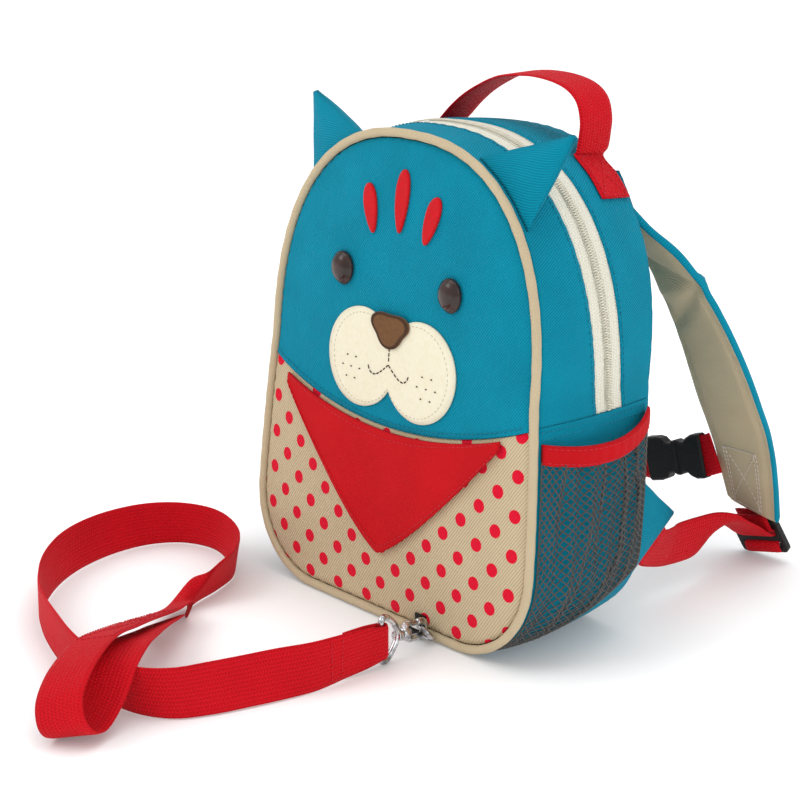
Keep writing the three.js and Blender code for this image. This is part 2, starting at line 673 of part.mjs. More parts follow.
// Triangular tab of body cloth at each lower back corner, and the webbing from it into the lock
const tabTop = 85
const tabFoot = 22
const tabTip = V(104.8, 81, 61)
const tabThickness = 2.2
const tabEdge = (u) => {
  const z = lerp(tabTop, tabFoot, u)
  return backPoint(outlinePoint(shareAtHeight(z)).x * backRimShare - 2.2, z, seat)
}
{
  const place = (side) => (u, v) => tabEdge(u).lerp(tabTip, v).add(V((side * tabThickness) / 2, 0, 0))
  addPair('strap_tab', wall(6, 3, place(1), place(-1)), tealCloth)
}
{
  // It leaves from between the tab's two cloths, along the slanted edge
  const slantedEdge = (share, out) => V(0, 0, 0).lerpVectors(tabTip, tabEdge(1), share)
    .addScaledVector(V(-0.25, 0.8, -0.5).normalize(), out)
  const hang = [
    [92, 91, 34, 0.15, 0.35, 0.92], [86.5, 106, 30.5, 0.05, 0.15, 0.99], [84, 125, 28.5, 0.05, 0.1, 0.99],
    [83.5, 140, 29, 0.3, 0.2, 0.93], [84, 151, 29.5, 0.7, 0.2, 0.68],
  ]
  const lockPath = [
    [26, 17], [17, 11], [9, 6.8], [4.6, 3.9], [3.1, 2], [2.85, -1.6], [2.5, -2.6], [1.6, -overPlate - 0.1],
    [-1.6, -overPlate - 0.1], [-2.5, -2.6], [-2.85, -1.6], [-3, 1.2], [-3.8, 2.4], [-5.6, overPlate + 0.4],
    [-9.2, overPlate + 0.4],
  ]
  const slant = V(0, 0, 0).subVectors(tabTip, tabEdge(1)).setLength(webbingWidth)
  const rows = [
    [slantedEdge(0.42, 2 * seat), slant], [slantedEdge(0.44, 7), slant],
    ...hang.map(([x, y, z, a, b, c]) => [V(x, y, z), V(a, b, c).setLength(webbingWidth)]),
    ...lockPath.map(([along, out]) => [onLock(along, out), lockAcross.clone().multiplyScalar(webbingWidth)]),
  ]
  addPair('adjuster_webbing', ribbon(rows, webbingThickness), redWebbing)
}

// Chest strap between the shoulder straps, sagging in the middle, with a side-release buckle off centre
const chestHeight = 68
const chestSag = 17
const chestDepth = 162
const chestReach = 67.4
const buckleEnds = [17.5, 60.5]
const femaleLength = 25
const slotDepth = 4
const chestPoint = (x) => V(x, chestDepth, chestHeight - chestSag * (1 - (x / chestReach) ** 2))
const chestWidth = (x) => V((-2 * chestSag * x) / chestReach ** 2, 0, 1).setLength(webbingWidth)
const chestRows = (from, to, steps) => Array.from({ length: steps + 1 }, (_, i) => lerp(from, to, i / steps))
  .map((x) => [chestPoint(x), chestWidth(x)])
{
  const start = chestPoint(buckleEnds[0])
  const end = chestPoint(buckleEnds[1])
  const along = V(0, 0, 0).subVectors(end, start)
  const length = along.length()
  along.normalize()
  const up = V(-along.z, 0, along.x)
  const inBuckle = (x) => [start.clone().addScaledVector(along, x), up.clone().setLength(webbingWidth)]
  const left = [...chestRows(-chestReach, buckleEnds[0] - 6, 10), inBuckle(-2), inBuckle(slotDepth)]
  const right = [inBuckle(length - slotDepth), inBuckle(length + 1), ...chestRows(chestReach, chestReach, 1).slice(1)]
  add('chest_webbing_left', ribbon(left, webbingThickness), redWebbing())
  add('chest_webbing_right', ribbon(right, webbingThickness), redWebbing())
  const frame = new THREE.Matrix4().makeBasis(along, up, V(0, 0, 0).crossVectors(along, up)).setPosition(start)
  const half = buckleHeight / 2
  // Half outlines from the bottom middle of one end to the other: length along the buckle, share of half height
  const halfOutline = {
    female: [[0, 0.9], [1.5, 1], [10, 1], [14, 0.92], [16.5, 0.72], [20, 0.66], [22.5, 0.78], [femaleLength, 0.8]],
    male: [[femaleLength + seat, 0.8], [femaleLength + 3, 0.72], [femaleLength + 6, 0.7], [femaleLength + 8.5, 0.86],
      [length - 7, 1], [length - 1.5, 1], [length, 0.9]],
  }
  for (const [name, rows] of Object.entries(halfOutline)) {
    const shape = new THREE.Shape([
      ...rows.map(([x, share]) => new THREE.Vector2(x, -share * half)),
      ...[...rows].reverse().map(([x, share]) => new THREE.Vector2(x, share * half)),
    ])
    const body = new THREE.ExtrudeGeometry(shape, { depth: buckleThickness - 2, bevelSize: 1, bevelThickness: 1, bevelOffset: -1, bevelSegments: 1 })
    body.translate(0, 0, -(buckleThickness - 2) / 2)
    const slot = new THREE.BoxGeometry(2 * slotDepth + 1.2, webbingWidth + 1.2, webbingThickness + 3.4)
    slot.translate(name === 'female' ? 0 : length, 0, 0)
    const cut = fromSolid(toSolid(welded(body)).subtract(toSolid(welded(slot))))
    cut.applyMatrix4(frame)
    add(`buckle_${name}`, cut, blackPlastic())
  }
}

// Tether: webbing on edge over the floor, from round the hook's eye, in one wide bend to a flat hand loop.
// Columns: centre x, y, z, then the vector from its lower to its upper edge
const tetherRoute = [
  [47.4, -113, 15.2, 1, 0, 23], [46.8, -99, 15, 1, 0, 22], [45.85, -88.5, 14.7, 0, 0, 19], [46.7, -85.2, 14.7, 0, 0, 19],
  [49, -84.2, 14.7, 0, 0, 19], [51.3, -85.2, 14.7, 0, 0, 19], [52.15, -88.5, 14.7, 0, 0, 19],
  [51.3, -99, 14.6, 1, 0, 23.5], [50.3, -113, 14.4, 1.5, 0.3, 26], [48.8, -133.5, 14.1, -3, 0.5, 26.3],
  [43, -151.4, 13.6, -8.5, 2.6, 25], [36.9, -170, 13.1, -10.8, 3.7, 24], [32.1, -188.8, 13.5, -8.5, 3.4, 25],
  [25.8, -206, 14.1, -2.7, 1.9, 26.4], [11.5, -217.4, 14.1, 0.3, -1, 26.5], [-9, -221.2, 14.1, 0.3, -1.3, 26.5],
  [-30.3, -220.4, 14.1, 0.3, -0.8, 26.5], [-51.5, -216.4, 14.1, 0.5, -0.3, 26.5], [-72.1, -210.4, 14.1, 0.7, 0.3, 26.5],
  [-91.4, -204, 14.1, 0.5, 0.2, 26.5], [-110.1, -196.4, 14.1, 0.2, -0.2, 26.5], [-128, -186.2, 14.1, 0.2, 0.2, 26.5],
  [-144.9, -172.4, 14.1, -1.3, -1, 26.5], [-160, -156.2, 14.1, -2.7, -1.6, 26.3], [-172.2, -138, 14, -4.5, -1.8, 26.2],
  [-180, -117.8, 14, -5.5, -1.6, 26], [-182.9, -96.3, 14, -4.5, -1.1, 26.1], [-179.3, -75.2, 14.1, -1.8, -0.8, 26.5],
  [-167.3, -58.6, 14.1, 0, -1.4, 26.5], [-147.6, -51, 14.2, 0.5, -0.5, 26.5], [-126.3, -54.4, 14.3, 1.1, 2, 26.4],
  [-103.8, -65.5, 13.8, 1.6, 4, 26.1], [-90.2, -84, 13.2, 5.8, 8.1, 24.6], [-82.3, -103.5, 12.4, 7.5, 11, 22.9],
  [-80.2, -112.5, 9.7, -3, 18.5, 18.7], [-78.5, -119.5, 8.6, -17, 15, 13.5], [-73, -129.5, 9.8, -24, -1, -11],
  [-61.2, -149.4, 13.9, -23.6, -6.6, -10], [-51.2, -167.8, 19, -23.3, -9, -8.7],
  [-40.7, -185.5, 24.4, -23.1, -10.6, -7.7], [-29.6, -202.9, 29.6, -22.7, -11.9, -6.9],
  [-18.6, -220.4, 34.3, -22.3, -12.7, -6.9], [-7.6, -237, 34.6, -21.8, -13.4, -7.2],
  [3.2, -252.6, 31.5, -21.5, -14, -6.9], [12, -264.2, 24.4, -21, -14, -7.5], [17.2, -267, 14.5, -20.8, -14, -7.8],
  [16.6, -261, 6, -21, -14.3, -6], [12, -250.2, 4.4, -22.2, -13.4, -4.2], [7.6, -237.8, 14.4, -22, -14.6, -2.4],
  [1.4, -225.6, 27.6, -20.9, -16.1, -0.8], [-10.3, -209.8, 29.7, -20.7, -16.4, -2.6],
  [-22.7, -194.6, 25.4, -19.9, -16.7, -5], [-35.4, -179.5, 20.2, -19.2, -16.9, -7.4],
  [-48, -164.6, 14.4, -18.6, -16.9, -8.7], [-59.5, -150.8, 9.4, -18, -16.9, -9.6],
]
add('tether_strap', ribbon(tetherRoute.map(([x, y, z, a, b, c]) => [V(x, y, z), V(a, b, c)]), webbingThickness), redWebbing())

// A round wire along a curve; closed for a ring
function wire(curve, radius, steps, sides, closed = false) {
  const frames = curve.computeFrenetFrames(steps, closed)
  const count = closed ? steps : steps + 1
  const rings = Array.from({ length: count }, (_, i) => {
    const centre = curve.getPointAt(i / steps)
    return Array.from({ length: sides }, (__, k) => {
      const angle = ((k + 0.5) / sides) * Math.PI * 2
      return centre.clone().addScaledVector(frames.normals[i], radius * Math.cos(angle))
        .addScaledVector(frames.binormals[i], radius * Math.sin(angle))
    })
  })
  return loft(rings, closed)
}

// Swivel snap hook: the eye holds the tether's end upright, the hook slopes down to the ring on the bag
const eyeBar = V(49, -87.5, 14.7)
const eyeHalfHeight = 12.6
const eyeDepth = 15
const eyeWire = 1.8
const hookAxis = V(-0.2, 0.97, -0.14).normalize()
const hookUp = V(0, 0, 1).addScaledVector(hookAxis, -hookAxis.z).normalize()
const hookSide = V(0, 0, 0).crossVectors(hookAxis, hookUp)
const neck = eyeBar.clone().addScaledVector(hookAxis, eyeDepth)
const onHook = (along, up, side = 0) => neck.clone()
  .addScaledVector(hookAxis, along).addScaledVector(hookUp, up).addScaledVector(hookSide, side)
const hookFrame = (along) => new THREE.Matrix4().makeBasis(hookSide, hookAxis, hookUp.clone())
  .setPosition(onHook(along, 0))
const collarRadius = 3.2
const collarLength = 4
{
  const points = [
    ...[-0.84, 0, 0.84].map((share) => eyeBar.clone().add(V(0, 0, eyeHalfHeight * share))),
    eyeBar.clone().add(V(-0.7, 3.4, eyeHalfHeight)), onHook(-6, eyeHalfHeight * 0.72), onHook(-1, 2.6),
    onHook(-1, -2.6), onHook(-6, -eyeHalfHeight * 0.72 - 0.6), eyeBar.clone().add(V(-0.7, 3.4, -eyeHalfHeight)),
  ]
  const loop = wire(new THREE.CatmullRomCurve3(points, true), eyeWire, 22, 6, true)
  const collar = new THREE.CylinderGeometry(collarRadius, collarRadius, collarLength, 12)
  collar.applyMatrix4(hookFrame(0.6))
  add('swivel_eye', fromSolid(toSolid(loop).add(toSolid(welded(collar)))), steel())
}
const hookStart = 0.6 + collarLength / 2 + seat
const hookArm = 4.2
const hookWire = 2
const bowlCentre = 21
const noseReach = 3.4
const gateHinge = 9.6
const gateWire = 1.4
{
  const ball = new THREE.SphereGeometry(3.9, 10, 6)
  ball.applyMatrix4(hookFrame(hookStart + 4))
  const points = [onHook(hookStart + 3.7, 0), onHook(gateHinge, -hookArm * 0.8), onHook(gateHinge + 3, -hookArm)]
  points.push(onHook(bowlCentre - 3, -hookArm))
  for (let k = 0; k <= 4; k++) {
    const angle = -Math.PI / 2 + (k / 4) * Math.PI
    points.push(onHook(bowlCentre + hookArm * Math.cos(angle), hookArm * Math.sin(angle)))
  }
  points.push(onHook(bowlCentre - noseReach, hookArm))
  const bent = wire(new THREE.CatmullRomCurve3(points), hookWire, 20, 6)
  const lug = new THREE.CylinderGeometry(1.7, 1.7, 4, 8)
  lug.translate(0, gateHinge - seat - 2, hookArm)
  lug.applyMatrix4(hookFrame(0))
  add('snap_hook_body', fromSolid(toSolid(bent).add(toSolid(welded(ball))).add(toSolid(welded(lug)))), steel())
  const gateEnd = bowlCentre - noseReach - seat
  const gate = new THREE.CapsuleGeometry(gateWire, gateEnd - gateHinge - 2 * gateWire, 2, 8)
  gate.translate(0, (gateHinge + gateEnd) / 2, hookArm)
  gate.applyMatrix4(hookFrame(0))
  add('snap_hook_gate', welded(gate), steel())
}

// D-ring held to the front panel's foot by a short tab
const ringWire = 1.5
const ringTop = onHook(bowlCentre + hookArm - hookWire - seat - ringWire, 0)
const ringHalfWidth = 10
const ringShift = -5 // the hook sits towards one side of the ring, clear of the tab
const ringFoot = V(ringTop.x + ringShift, ringTop.y + 4.2, 3.2)
{
  const rise = V(0, ringTop.y - ringFoot.y, ringTop.z - ringFoot.z)
  const at = (x, share) => ringFoot.clone().addScaledVector(rise, share).add(V(x, 0, 0))
  const points = [
    at(-ringHalfWidth * 0.6, 0), at(0, 0), at(ringHalfWidth * 0.6, 0), at(ringHalfWidth, 0.12),
    at(ringHalfWidth * 0.95, 0.62), at(ringHalfWidth * 0.6, 1), at(0, 1), at(-ringHalfWidth * 0.5, 0.95),
    at(-ringHalfWidth * 0.9, 0.62), at(-ringHalfWidth, 0.12),
  ]
  add('d_ring', wire(new THREE.CatmullRomCurve3(points, true), ringWire, 20, 6, true), steel())
  const tabHalf = 0.5
  const bend = ringWire + 1.5 * seat + tabHalf
  const tabX = ringFoot.x - 3
  const width = V(8, 0, 0)
  const onPanel = (z) => frontPoint(tabX, z, seat + tabHalf)
  const wrap = [100, 60, 20, -20, -60, -95].map((angle) => (
    V(tabX, ringFoot.y - bend * Math.cos(angle * degrees), ringFoot.z + bend * Math.sin(angle * degrees))))
  const rows = [onPanel(13), onPanel(8.5), ...wrap].map((centre) => [centre, width])
  add('d_ring_tab', ribbon(rows, 2 * tabHalf), blackPlastic())
}

export default model
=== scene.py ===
"""Dresses a toddler's harness backpack over its CAD frame, in metres, +Z up, the front facing -Y."""
import json
import math

import bmesh
import bpy
from mathutils import Vector, noise
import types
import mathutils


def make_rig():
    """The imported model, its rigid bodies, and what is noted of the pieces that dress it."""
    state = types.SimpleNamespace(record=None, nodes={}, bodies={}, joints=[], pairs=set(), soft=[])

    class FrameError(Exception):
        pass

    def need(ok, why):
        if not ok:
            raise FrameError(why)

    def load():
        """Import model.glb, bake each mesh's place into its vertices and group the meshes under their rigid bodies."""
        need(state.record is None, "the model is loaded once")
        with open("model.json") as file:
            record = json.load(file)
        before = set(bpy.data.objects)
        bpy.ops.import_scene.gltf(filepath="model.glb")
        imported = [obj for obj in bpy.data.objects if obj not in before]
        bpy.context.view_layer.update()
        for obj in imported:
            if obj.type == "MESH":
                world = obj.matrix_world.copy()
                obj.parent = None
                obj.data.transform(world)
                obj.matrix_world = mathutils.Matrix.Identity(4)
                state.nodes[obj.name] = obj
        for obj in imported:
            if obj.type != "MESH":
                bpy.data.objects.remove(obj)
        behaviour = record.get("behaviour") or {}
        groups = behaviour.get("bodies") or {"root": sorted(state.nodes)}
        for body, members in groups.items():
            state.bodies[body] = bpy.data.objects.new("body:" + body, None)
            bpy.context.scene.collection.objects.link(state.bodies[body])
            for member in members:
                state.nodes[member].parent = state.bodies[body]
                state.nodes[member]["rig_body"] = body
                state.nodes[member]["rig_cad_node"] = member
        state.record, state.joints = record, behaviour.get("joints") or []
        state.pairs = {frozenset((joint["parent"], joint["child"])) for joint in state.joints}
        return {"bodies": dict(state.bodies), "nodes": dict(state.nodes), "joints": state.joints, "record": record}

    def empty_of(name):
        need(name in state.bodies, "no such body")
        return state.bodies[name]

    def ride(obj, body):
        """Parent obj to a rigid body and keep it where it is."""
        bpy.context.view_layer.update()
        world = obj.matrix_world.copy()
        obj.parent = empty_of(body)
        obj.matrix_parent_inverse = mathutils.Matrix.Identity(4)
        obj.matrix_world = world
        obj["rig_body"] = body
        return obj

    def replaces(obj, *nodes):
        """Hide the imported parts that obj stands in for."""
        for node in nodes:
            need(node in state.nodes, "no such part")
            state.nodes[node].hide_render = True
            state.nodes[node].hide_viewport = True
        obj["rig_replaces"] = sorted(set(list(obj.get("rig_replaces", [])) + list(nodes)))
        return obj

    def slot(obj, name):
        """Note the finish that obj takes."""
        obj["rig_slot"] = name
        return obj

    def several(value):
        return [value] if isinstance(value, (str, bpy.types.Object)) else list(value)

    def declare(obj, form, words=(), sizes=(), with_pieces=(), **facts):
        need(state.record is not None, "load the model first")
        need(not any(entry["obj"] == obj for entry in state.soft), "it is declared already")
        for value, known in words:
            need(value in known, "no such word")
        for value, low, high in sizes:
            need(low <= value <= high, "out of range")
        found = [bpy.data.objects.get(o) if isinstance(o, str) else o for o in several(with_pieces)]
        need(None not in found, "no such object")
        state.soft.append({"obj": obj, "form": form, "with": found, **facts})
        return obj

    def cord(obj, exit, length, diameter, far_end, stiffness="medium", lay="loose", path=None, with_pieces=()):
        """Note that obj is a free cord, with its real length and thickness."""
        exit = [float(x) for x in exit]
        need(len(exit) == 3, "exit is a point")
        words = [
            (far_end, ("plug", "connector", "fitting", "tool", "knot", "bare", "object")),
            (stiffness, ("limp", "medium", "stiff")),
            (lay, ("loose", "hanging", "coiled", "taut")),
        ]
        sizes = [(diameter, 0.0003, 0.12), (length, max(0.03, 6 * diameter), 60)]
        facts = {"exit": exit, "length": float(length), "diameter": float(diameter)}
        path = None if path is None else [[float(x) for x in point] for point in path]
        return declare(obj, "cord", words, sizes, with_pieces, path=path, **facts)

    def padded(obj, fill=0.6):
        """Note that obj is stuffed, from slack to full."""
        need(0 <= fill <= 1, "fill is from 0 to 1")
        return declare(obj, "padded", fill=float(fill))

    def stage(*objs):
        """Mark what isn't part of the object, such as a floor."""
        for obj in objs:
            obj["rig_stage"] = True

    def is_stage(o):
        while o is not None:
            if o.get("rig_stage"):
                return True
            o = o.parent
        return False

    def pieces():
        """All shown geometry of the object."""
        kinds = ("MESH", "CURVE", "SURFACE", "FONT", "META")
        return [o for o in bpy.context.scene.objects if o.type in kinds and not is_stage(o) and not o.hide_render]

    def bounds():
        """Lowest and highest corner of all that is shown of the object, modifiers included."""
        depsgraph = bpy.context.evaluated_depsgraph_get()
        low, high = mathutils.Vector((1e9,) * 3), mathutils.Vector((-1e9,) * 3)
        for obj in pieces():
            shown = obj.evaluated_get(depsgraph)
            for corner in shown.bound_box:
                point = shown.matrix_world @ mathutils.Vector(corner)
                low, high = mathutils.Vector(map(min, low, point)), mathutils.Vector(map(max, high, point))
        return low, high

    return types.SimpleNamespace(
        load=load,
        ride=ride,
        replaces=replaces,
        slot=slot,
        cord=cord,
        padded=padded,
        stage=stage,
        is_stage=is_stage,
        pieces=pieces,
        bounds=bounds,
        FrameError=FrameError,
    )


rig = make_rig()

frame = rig.load()
cad_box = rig.bounds()
cad = frame["nodes"]

# Camera and studio: a flat pale floor under three broad soft lights and an even white sky. The
# camera stands to the right of the bag's front and a little above it, with a long lens.
MM = 0.001
TARGET, CAMERA_AWAY = Vector((-32.476, 0, 111.666)) * MM, 1176.949
AZIMUTH, ELEVATION = math.radians(47.808), math.radians(17.26)
BACK = Vector((math.sin(AZIMUTH) * math.cos(ELEVATION), -math.cos(AZIMUTH) * math.cos(ELEVATION),
               math.sin(ELEVATION)))
lens = bpy.data.cameras.new("studio_camera")
lens.sensor_width, lens.lens = 36, 92.631
lens.clip_start, lens.clip_end = 0.02, 60
camera = bpy.data.objects.new("studio_camera", lens)
bpy.context.scene.collection.objects.link(camera)
camera.rotation_mode = "QUATERNION"
camera.location = TARGET + BACK * CAMERA_AWAY * MM
camera.rotation_quaternion = (-BACK).to_track_quat("-Z", "Y")
bpy.context.scene.camera = camera
bpy.context.scene.view_settings.view_transform = "Standard"


def soft_light(name, place, aim, width, power):
    lamp = bpy.data.lights.new(name, "AREA")
    lamp.shape, lamp.size, lamp.energy = "SQUARE", width, power
    holder = bpy.data.objects.new(name, lamp)
    bpy.context.scene.collection.objects.link(holder)
    holder.location = place
    holder.rotation_mode = "QUATERNION"
    holder.rotation_quaternion = (Vector(aim) - Vector(place)).to_track_quat("-Z", "Y")


soft_light("key_light", (-0.9, -1.7, 1.9), (0, 0, 0.1), 1.3, 15)
soft_light("side_light", (1.9, -0.5, 1.1), (0, 0, 0.12), 1.2, 5)
soft_light("top_light", (0.2, 0.5, 2.3), (0, 0, 0.1), 1.6, 11)
sky = bpy.data.worlds.new("studio_sky")
bpy.context.scene.world = sky
sky.use_nodes = True
sky.node_tree.nodes["Background"].inputs["Color"].default_value = (1, 1, 1, 1)
sky.node_tree.nodes["Background"].inputs["Strength"].default_value = 0.79


def mesh_piece(name, points, faces):
    """A mesh object from points in millimetres."""
    mesh = bpy.data.meshes.new(name)
    mesh.from_pydata([tuple(c * MM for c in p) for p in points], [], faces)
    mesh.validate()
    mesh.update()
    mesh.polygons.foreach_set("use_smooth", [True] * len(mesh.polygons))
    piece = bpy.data.objects.new(name, mesh)
    bpy.context.scene.collection.objects.link(piece)
    return piece


def new_finish(name, rough=0.8, metal=0.0, sheen=0.0, sheen_rough=0.5, specular=0.5):
    """A material with one Principled shader; gives back the material, its node tree and the shader."""
    finish = bpy.data.materials.new(name)
    finish.use_nodes = True
    tree = finish.node_tree
    shader = tree.nodes["Principled BSDF"]
    shader.inputs["Roughness"].default_value = rough
    shader.inputs["Metallic"].default_value = metal
    shader.inputs["Sheen Weight"].default_value = sheen
    shader.inputs["Sheen Roughness"].default_value = sheen_rough
    shader.inputs["Specular IOR Level"].default_value = specular
    return finish, tree, shader


floor = mesh_piece("floor", [(-9000, -9000, 0), (9000, -9000, 0), (9000, 9000, 0), (-9000, 9000, 0)],
                   [(0, 1, 2, 3)])
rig.stage(floor)
floor_finish, floor_tree, floor_shader = new_finish("pale_floor", rough=0.9, specular=0.1)
grain = floor_tree.nodes.new("ShaderNodeTexNoise")
grain.inputs["Scale"].default_value = 3
blend_floor = floor_tree.nodes.new("ShaderNodeValToRGB")
blend_floor.color_ramp.elements[0].color = (0.955, 0.957, 0.96, 1)
blend_floor.color_ramp.elements[1].color = (0.97, 0.972, 0.975, 1)
floor_tree.links.new(grain.outputs["Fac"], blend_floor.inputs["Fac"])
# Painted shadow: an occlusion node darkens the floor's colour and its glow where things stand close to it, mixed in at
# half strength.
painted_contact_shade = floor_tree.nodes.new("ShaderNodeAmbientOcclusion")
painted_contact_shade.samples = 12
painted_contact_shade.inputs["Distance"].default_value = 0.08
floor_tree.links.new(blend_floor.outputs["Color"], painted_contact_shade.inputs["Color"])
half_painted_contact_shade = floor_tree.nodes.new("ShaderNodeMix")
half_painted_contact_shade.data_type = "RGBA"
half_painted_contact_shade.inputs[0].default_value = 0.5
floor_tree.links.new(blend_floor.outputs["Color"], half_painted_contact_shade.inputs[6])
floor_tree.links.new(painted_contact_shade.outputs["Color"], half_painted_contact_shade.inputs[7])
floor_tree.links.new(half_painted_contact_shade.outputs[2], floor_shader.inputs["Base Color"])
floor_tree.links.new(half_painted_contact_shade.outputs[2], floor_shader.inputs["Emission Color"])
floor_shader.inputs["Emission Strength"].default_value = 0.27
floor.data.materials.append(floor_finish)


# Tether: one length of ribbed red webbing, lying on its edge on the floor and sewn back on
# itself as a flat hand loop. It is stitched round the eye of the swivel hook.
TETHER_ROUTE = [  # centre, then the vector from the lower to the upper edge
    (47.4, -113, 15.2, 1, 0, 23), (46.8, -99, 15, 1, 0, 22), (45.85, -88.5, 14.7, 0, 0, 19),
    (46.7, -85.2, 14.7, 0, 0, 19), (49, -84.2, 14.7, 0, 0, 19), (51.3, -85.2, 14.7, 0, 0, 19),
    (52.15, -88.5, 14.7, 0, 0, 19), (51.3, -99, 14.6, 1, 0, 23.5), (50.3, -113, 14.4, 1.5, 0.3, 26),
    (48.8, -133.5, 14.1, -3, 0.5, 26.3), (43, -151.4, 13.6, -8.5, 2.6, 25),
    (36.9, -170, 13.1, -10.8, 3.7, 24), (32.1, -188.8, 13.5, -8.5, 3.4, 25),
    (25.8, -206, 14.1, -2.7, 1.9, 26.4), (11.5, -217.4, 14.1, 0.3, -1, 26.5),
    (-9, -221.2, 14.1, 0.3, -1.3, 26.5), (-30.3, -220.4, 14.1, 0.3, -0.8, 26.5),
    (-51.5, -216.4, 14.1, 0.5, -0.3, 26.5), (-72.1, -210.4, 14.1, 0.7, 0.3, 26.5),
    (-91.4, -204, 14.1, 0.5, 0.2, 26.5), (-110.1, -196.4, 14.1, 0.2, -0.2, 26.5),
    (-128, -186.2, 14.1, 0.2, 0.2, 26.5), (-144.9, -172.4, 14.1, -1.3, -1, 26.5),
    (-160, -156.2, 14.1, -2.7, -1.6, 26.3), (-172.2, -138, 14, -4.5, -1.8, 26.2),
    (-180, -117.8, 14, -5.5, -1.6, 26), (-182.9, -96.3, 14, -4.5, -1.1, 26.1),
    (-179.3, -75.2, 14.1, -1.8, -0.8, 26.5), (-167.3, -58.6, 14.1, 0, -1.4, 26.5),
    (-147.6, -51, 14.2, 0.5, -0.5, 26.5), (-126.3, -54.4, 14.3, 1.1, 2, 26.4),
    (-103.8, -65.5, 13.8, 1.6, 4, 26.1), (-90.2, -84, 13.2, 5.8, 8.1, 24.6),
    (-82.3, -103.5, 12.4, 7.5, 11, 22.9), (-80.2, -112.5, 9.7, -3, 18.5, 18.7),
    (-78.5, -119.5, 8.6, -17, 15, 13.5), (-73, -129.5, 9.8, -24, -1, -11),
    (-61.2, -149.4, 13.9, -23.6, -6.6, -10), (-51.2, -167.8, 19, -23.3, -9, -8.7),
    (-40.7, -185.5, 24.4, -23.1, -10.6, -7.7), (-29.6, -202.9, 29.6, -22.7, -11.9, -6.9),
    (-18.6, -220.4, 34.3, -22.3, -12.7, -6.9), (-7.6, -237, 34.6, -21.8, -13.4, -7.2),
    (3.2, -252.6, 31.5, -21.5, -14, -6.9), (12, -264.2, 24.4, -21, -14, -7.5),
    (17.2, -267, 14.5, -20.8, -14, -7.8), (16.6, -261, 6, -21, -14.3, -6),
    (12, -250.2, 4.4, -22.2, -13.4, -4.2), (7.6, -237.8, 14.4, -22, -14.6, -2.4),
    (1.4, -225.6, 27.6, -20.9, -16.1, -0.8), (-10.3, -209.8, 29.7, -20.7, -16.4, -2.6),
    (-22.7, -194.6, 25.4, -19.9, -16.7, -5), (-35.4, -179.5, 20.2, -19.2, -16.9, -7.4),
    (-48, -164.6, 14.4, -18.6, -16.9, -8.7), (-59.5, -150.8, 9.4, -18, -16.9, -9.6),
]
WEB_THICK, ROUNDED_EDGE = 1.5, 1.6


def catmull(a, b, c, d, t):
    return 0.5 * ((2 * b) + (c - a) * t + (2 * a - 5 * b + 4 * c - d) * t * t
                  + (3 * b - a - 3 * c + d) * t ** 3)


def smooth_rows(rows, steps):
    """Rows of numbers with extra rows between them, on a Catmull-Rom curve."""
    rows = [list(r) for r in rows]
    wide = [rows[0]] + rows + [rows[-1]]
    out = []
    for i in range(len(rows) - 1):
        for k in range(steps):
            out.append([catmull(*(wide[i + j][n] for j in range(4)), k / steps) for n in range(len(rows[0]))])
    return out + [rows[-1]]


def tube_faces(rings, size, start=0, closed=False):
    """Faces round rings of points that follow one another, with both ends capped unless they close."""
    faces = []
    for i in range(rings if closed else rings - 1):
        m = (i + 1) % rings
        for k in range(size):
            n = (k + 1) % size
            faces.append((start + i * size + k, start + i * size + n, start + m * size + n,
                          start + m * size + k))
    if not closed:
        faces.append(tuple(start + k for k in range(size - 1, -1, -1)))
        faces.append(tuple(start + (rings - 1) * size + k for k in range(size)))
    return faces


def set_flat_map(piece, values):
    """A UV map in metres along and across the cloth: values holds one (u, v) for each loop."""
    layer = piece.data.uv_layers.new(name="cloth_map")
    layer.data.foreach_set("uv", [c * MM for uv in values for c in uv])


def webbing(name, rows, steps):
    """Flat woven strap along rows of centre and width vector, with rounded edges and a map in real size."""
    rows, across = smooth_rows(rows, steps), 10
    centres = [Vector(r[:3]) for r in rows]
    sides = [i / across for i in range(across + 1)]
    profile = [(2 * s - 1, 1) for s in sides] + [(1 - 2 * s, -1) for s in sides]
    points, along = [], [0.0]
    for i, row in enumerate(rows):
        width = Vector(row[3:6])
        ahead = centres[min(i + 1, len(rows) - 1)] - centres[max(i - 1, 0)]
        face = ahead.cross(width).normalized()
        if i:
            along.append(along[-1] + (centres[i] - centres[i - 1]).length)
        for s, side in profile:
            rounded_share = ROUNDED_EDGE / width.length
            edge = max(0.0, abs(s) - 1 + rounded_share) / rounded_share
            thin = math.sqrt(max(0.0, 1 - 0.85 * edge * edge))
            points.append(centres[i] + width * 0.5 * s + face * side * (WEB_THICK / 2 * thin))
    size = len(profile)
    piece = mesh_piece(name, points, tube_faces(len(rows), size))
    values = []
    for poly in piece.data.polygons:
        for v in poly.vertices:
            i, k = divmod(v, size)
            values.append((along[i], profile[k][0] * Vector(rows[i][3:6]).length / 2))
    set_flat_map(piece, values)
    return piece, centres, along


def math_node(tree, what, a, b=None, c=None, clamp=False):
    node = tree.nodes.new("ShaderNodeMath")
    node.operation, node.use_clamp = what, clamp
    for i, value in enumerate((a, b, c)):
        if value is None:
            continue
        if isinstance(value, (int, float)):
            node.inputs[i].default_value = value
        else:
            tree.links.new(value, node.inputs[i])
    return node.outputs[0]


def ramp_node(tree, value, stops):
    node = tree.nodes.new("ShaderNodeValToRGB")
    node.color_ramp.elements.remove(node.color_ramp.elements[1])
    node.color_ramp.elements[0].position, node.color_ramp.elements[0].color = stops[0][0], (*stops[0][1], 1)
    for place, colour in stops[1:]:
        node.color_ramp.elements.new(place).color = (*colour, 1)
    tree.links.new(value, node.inputs["Fac"])
    return node.outputs["Color"]


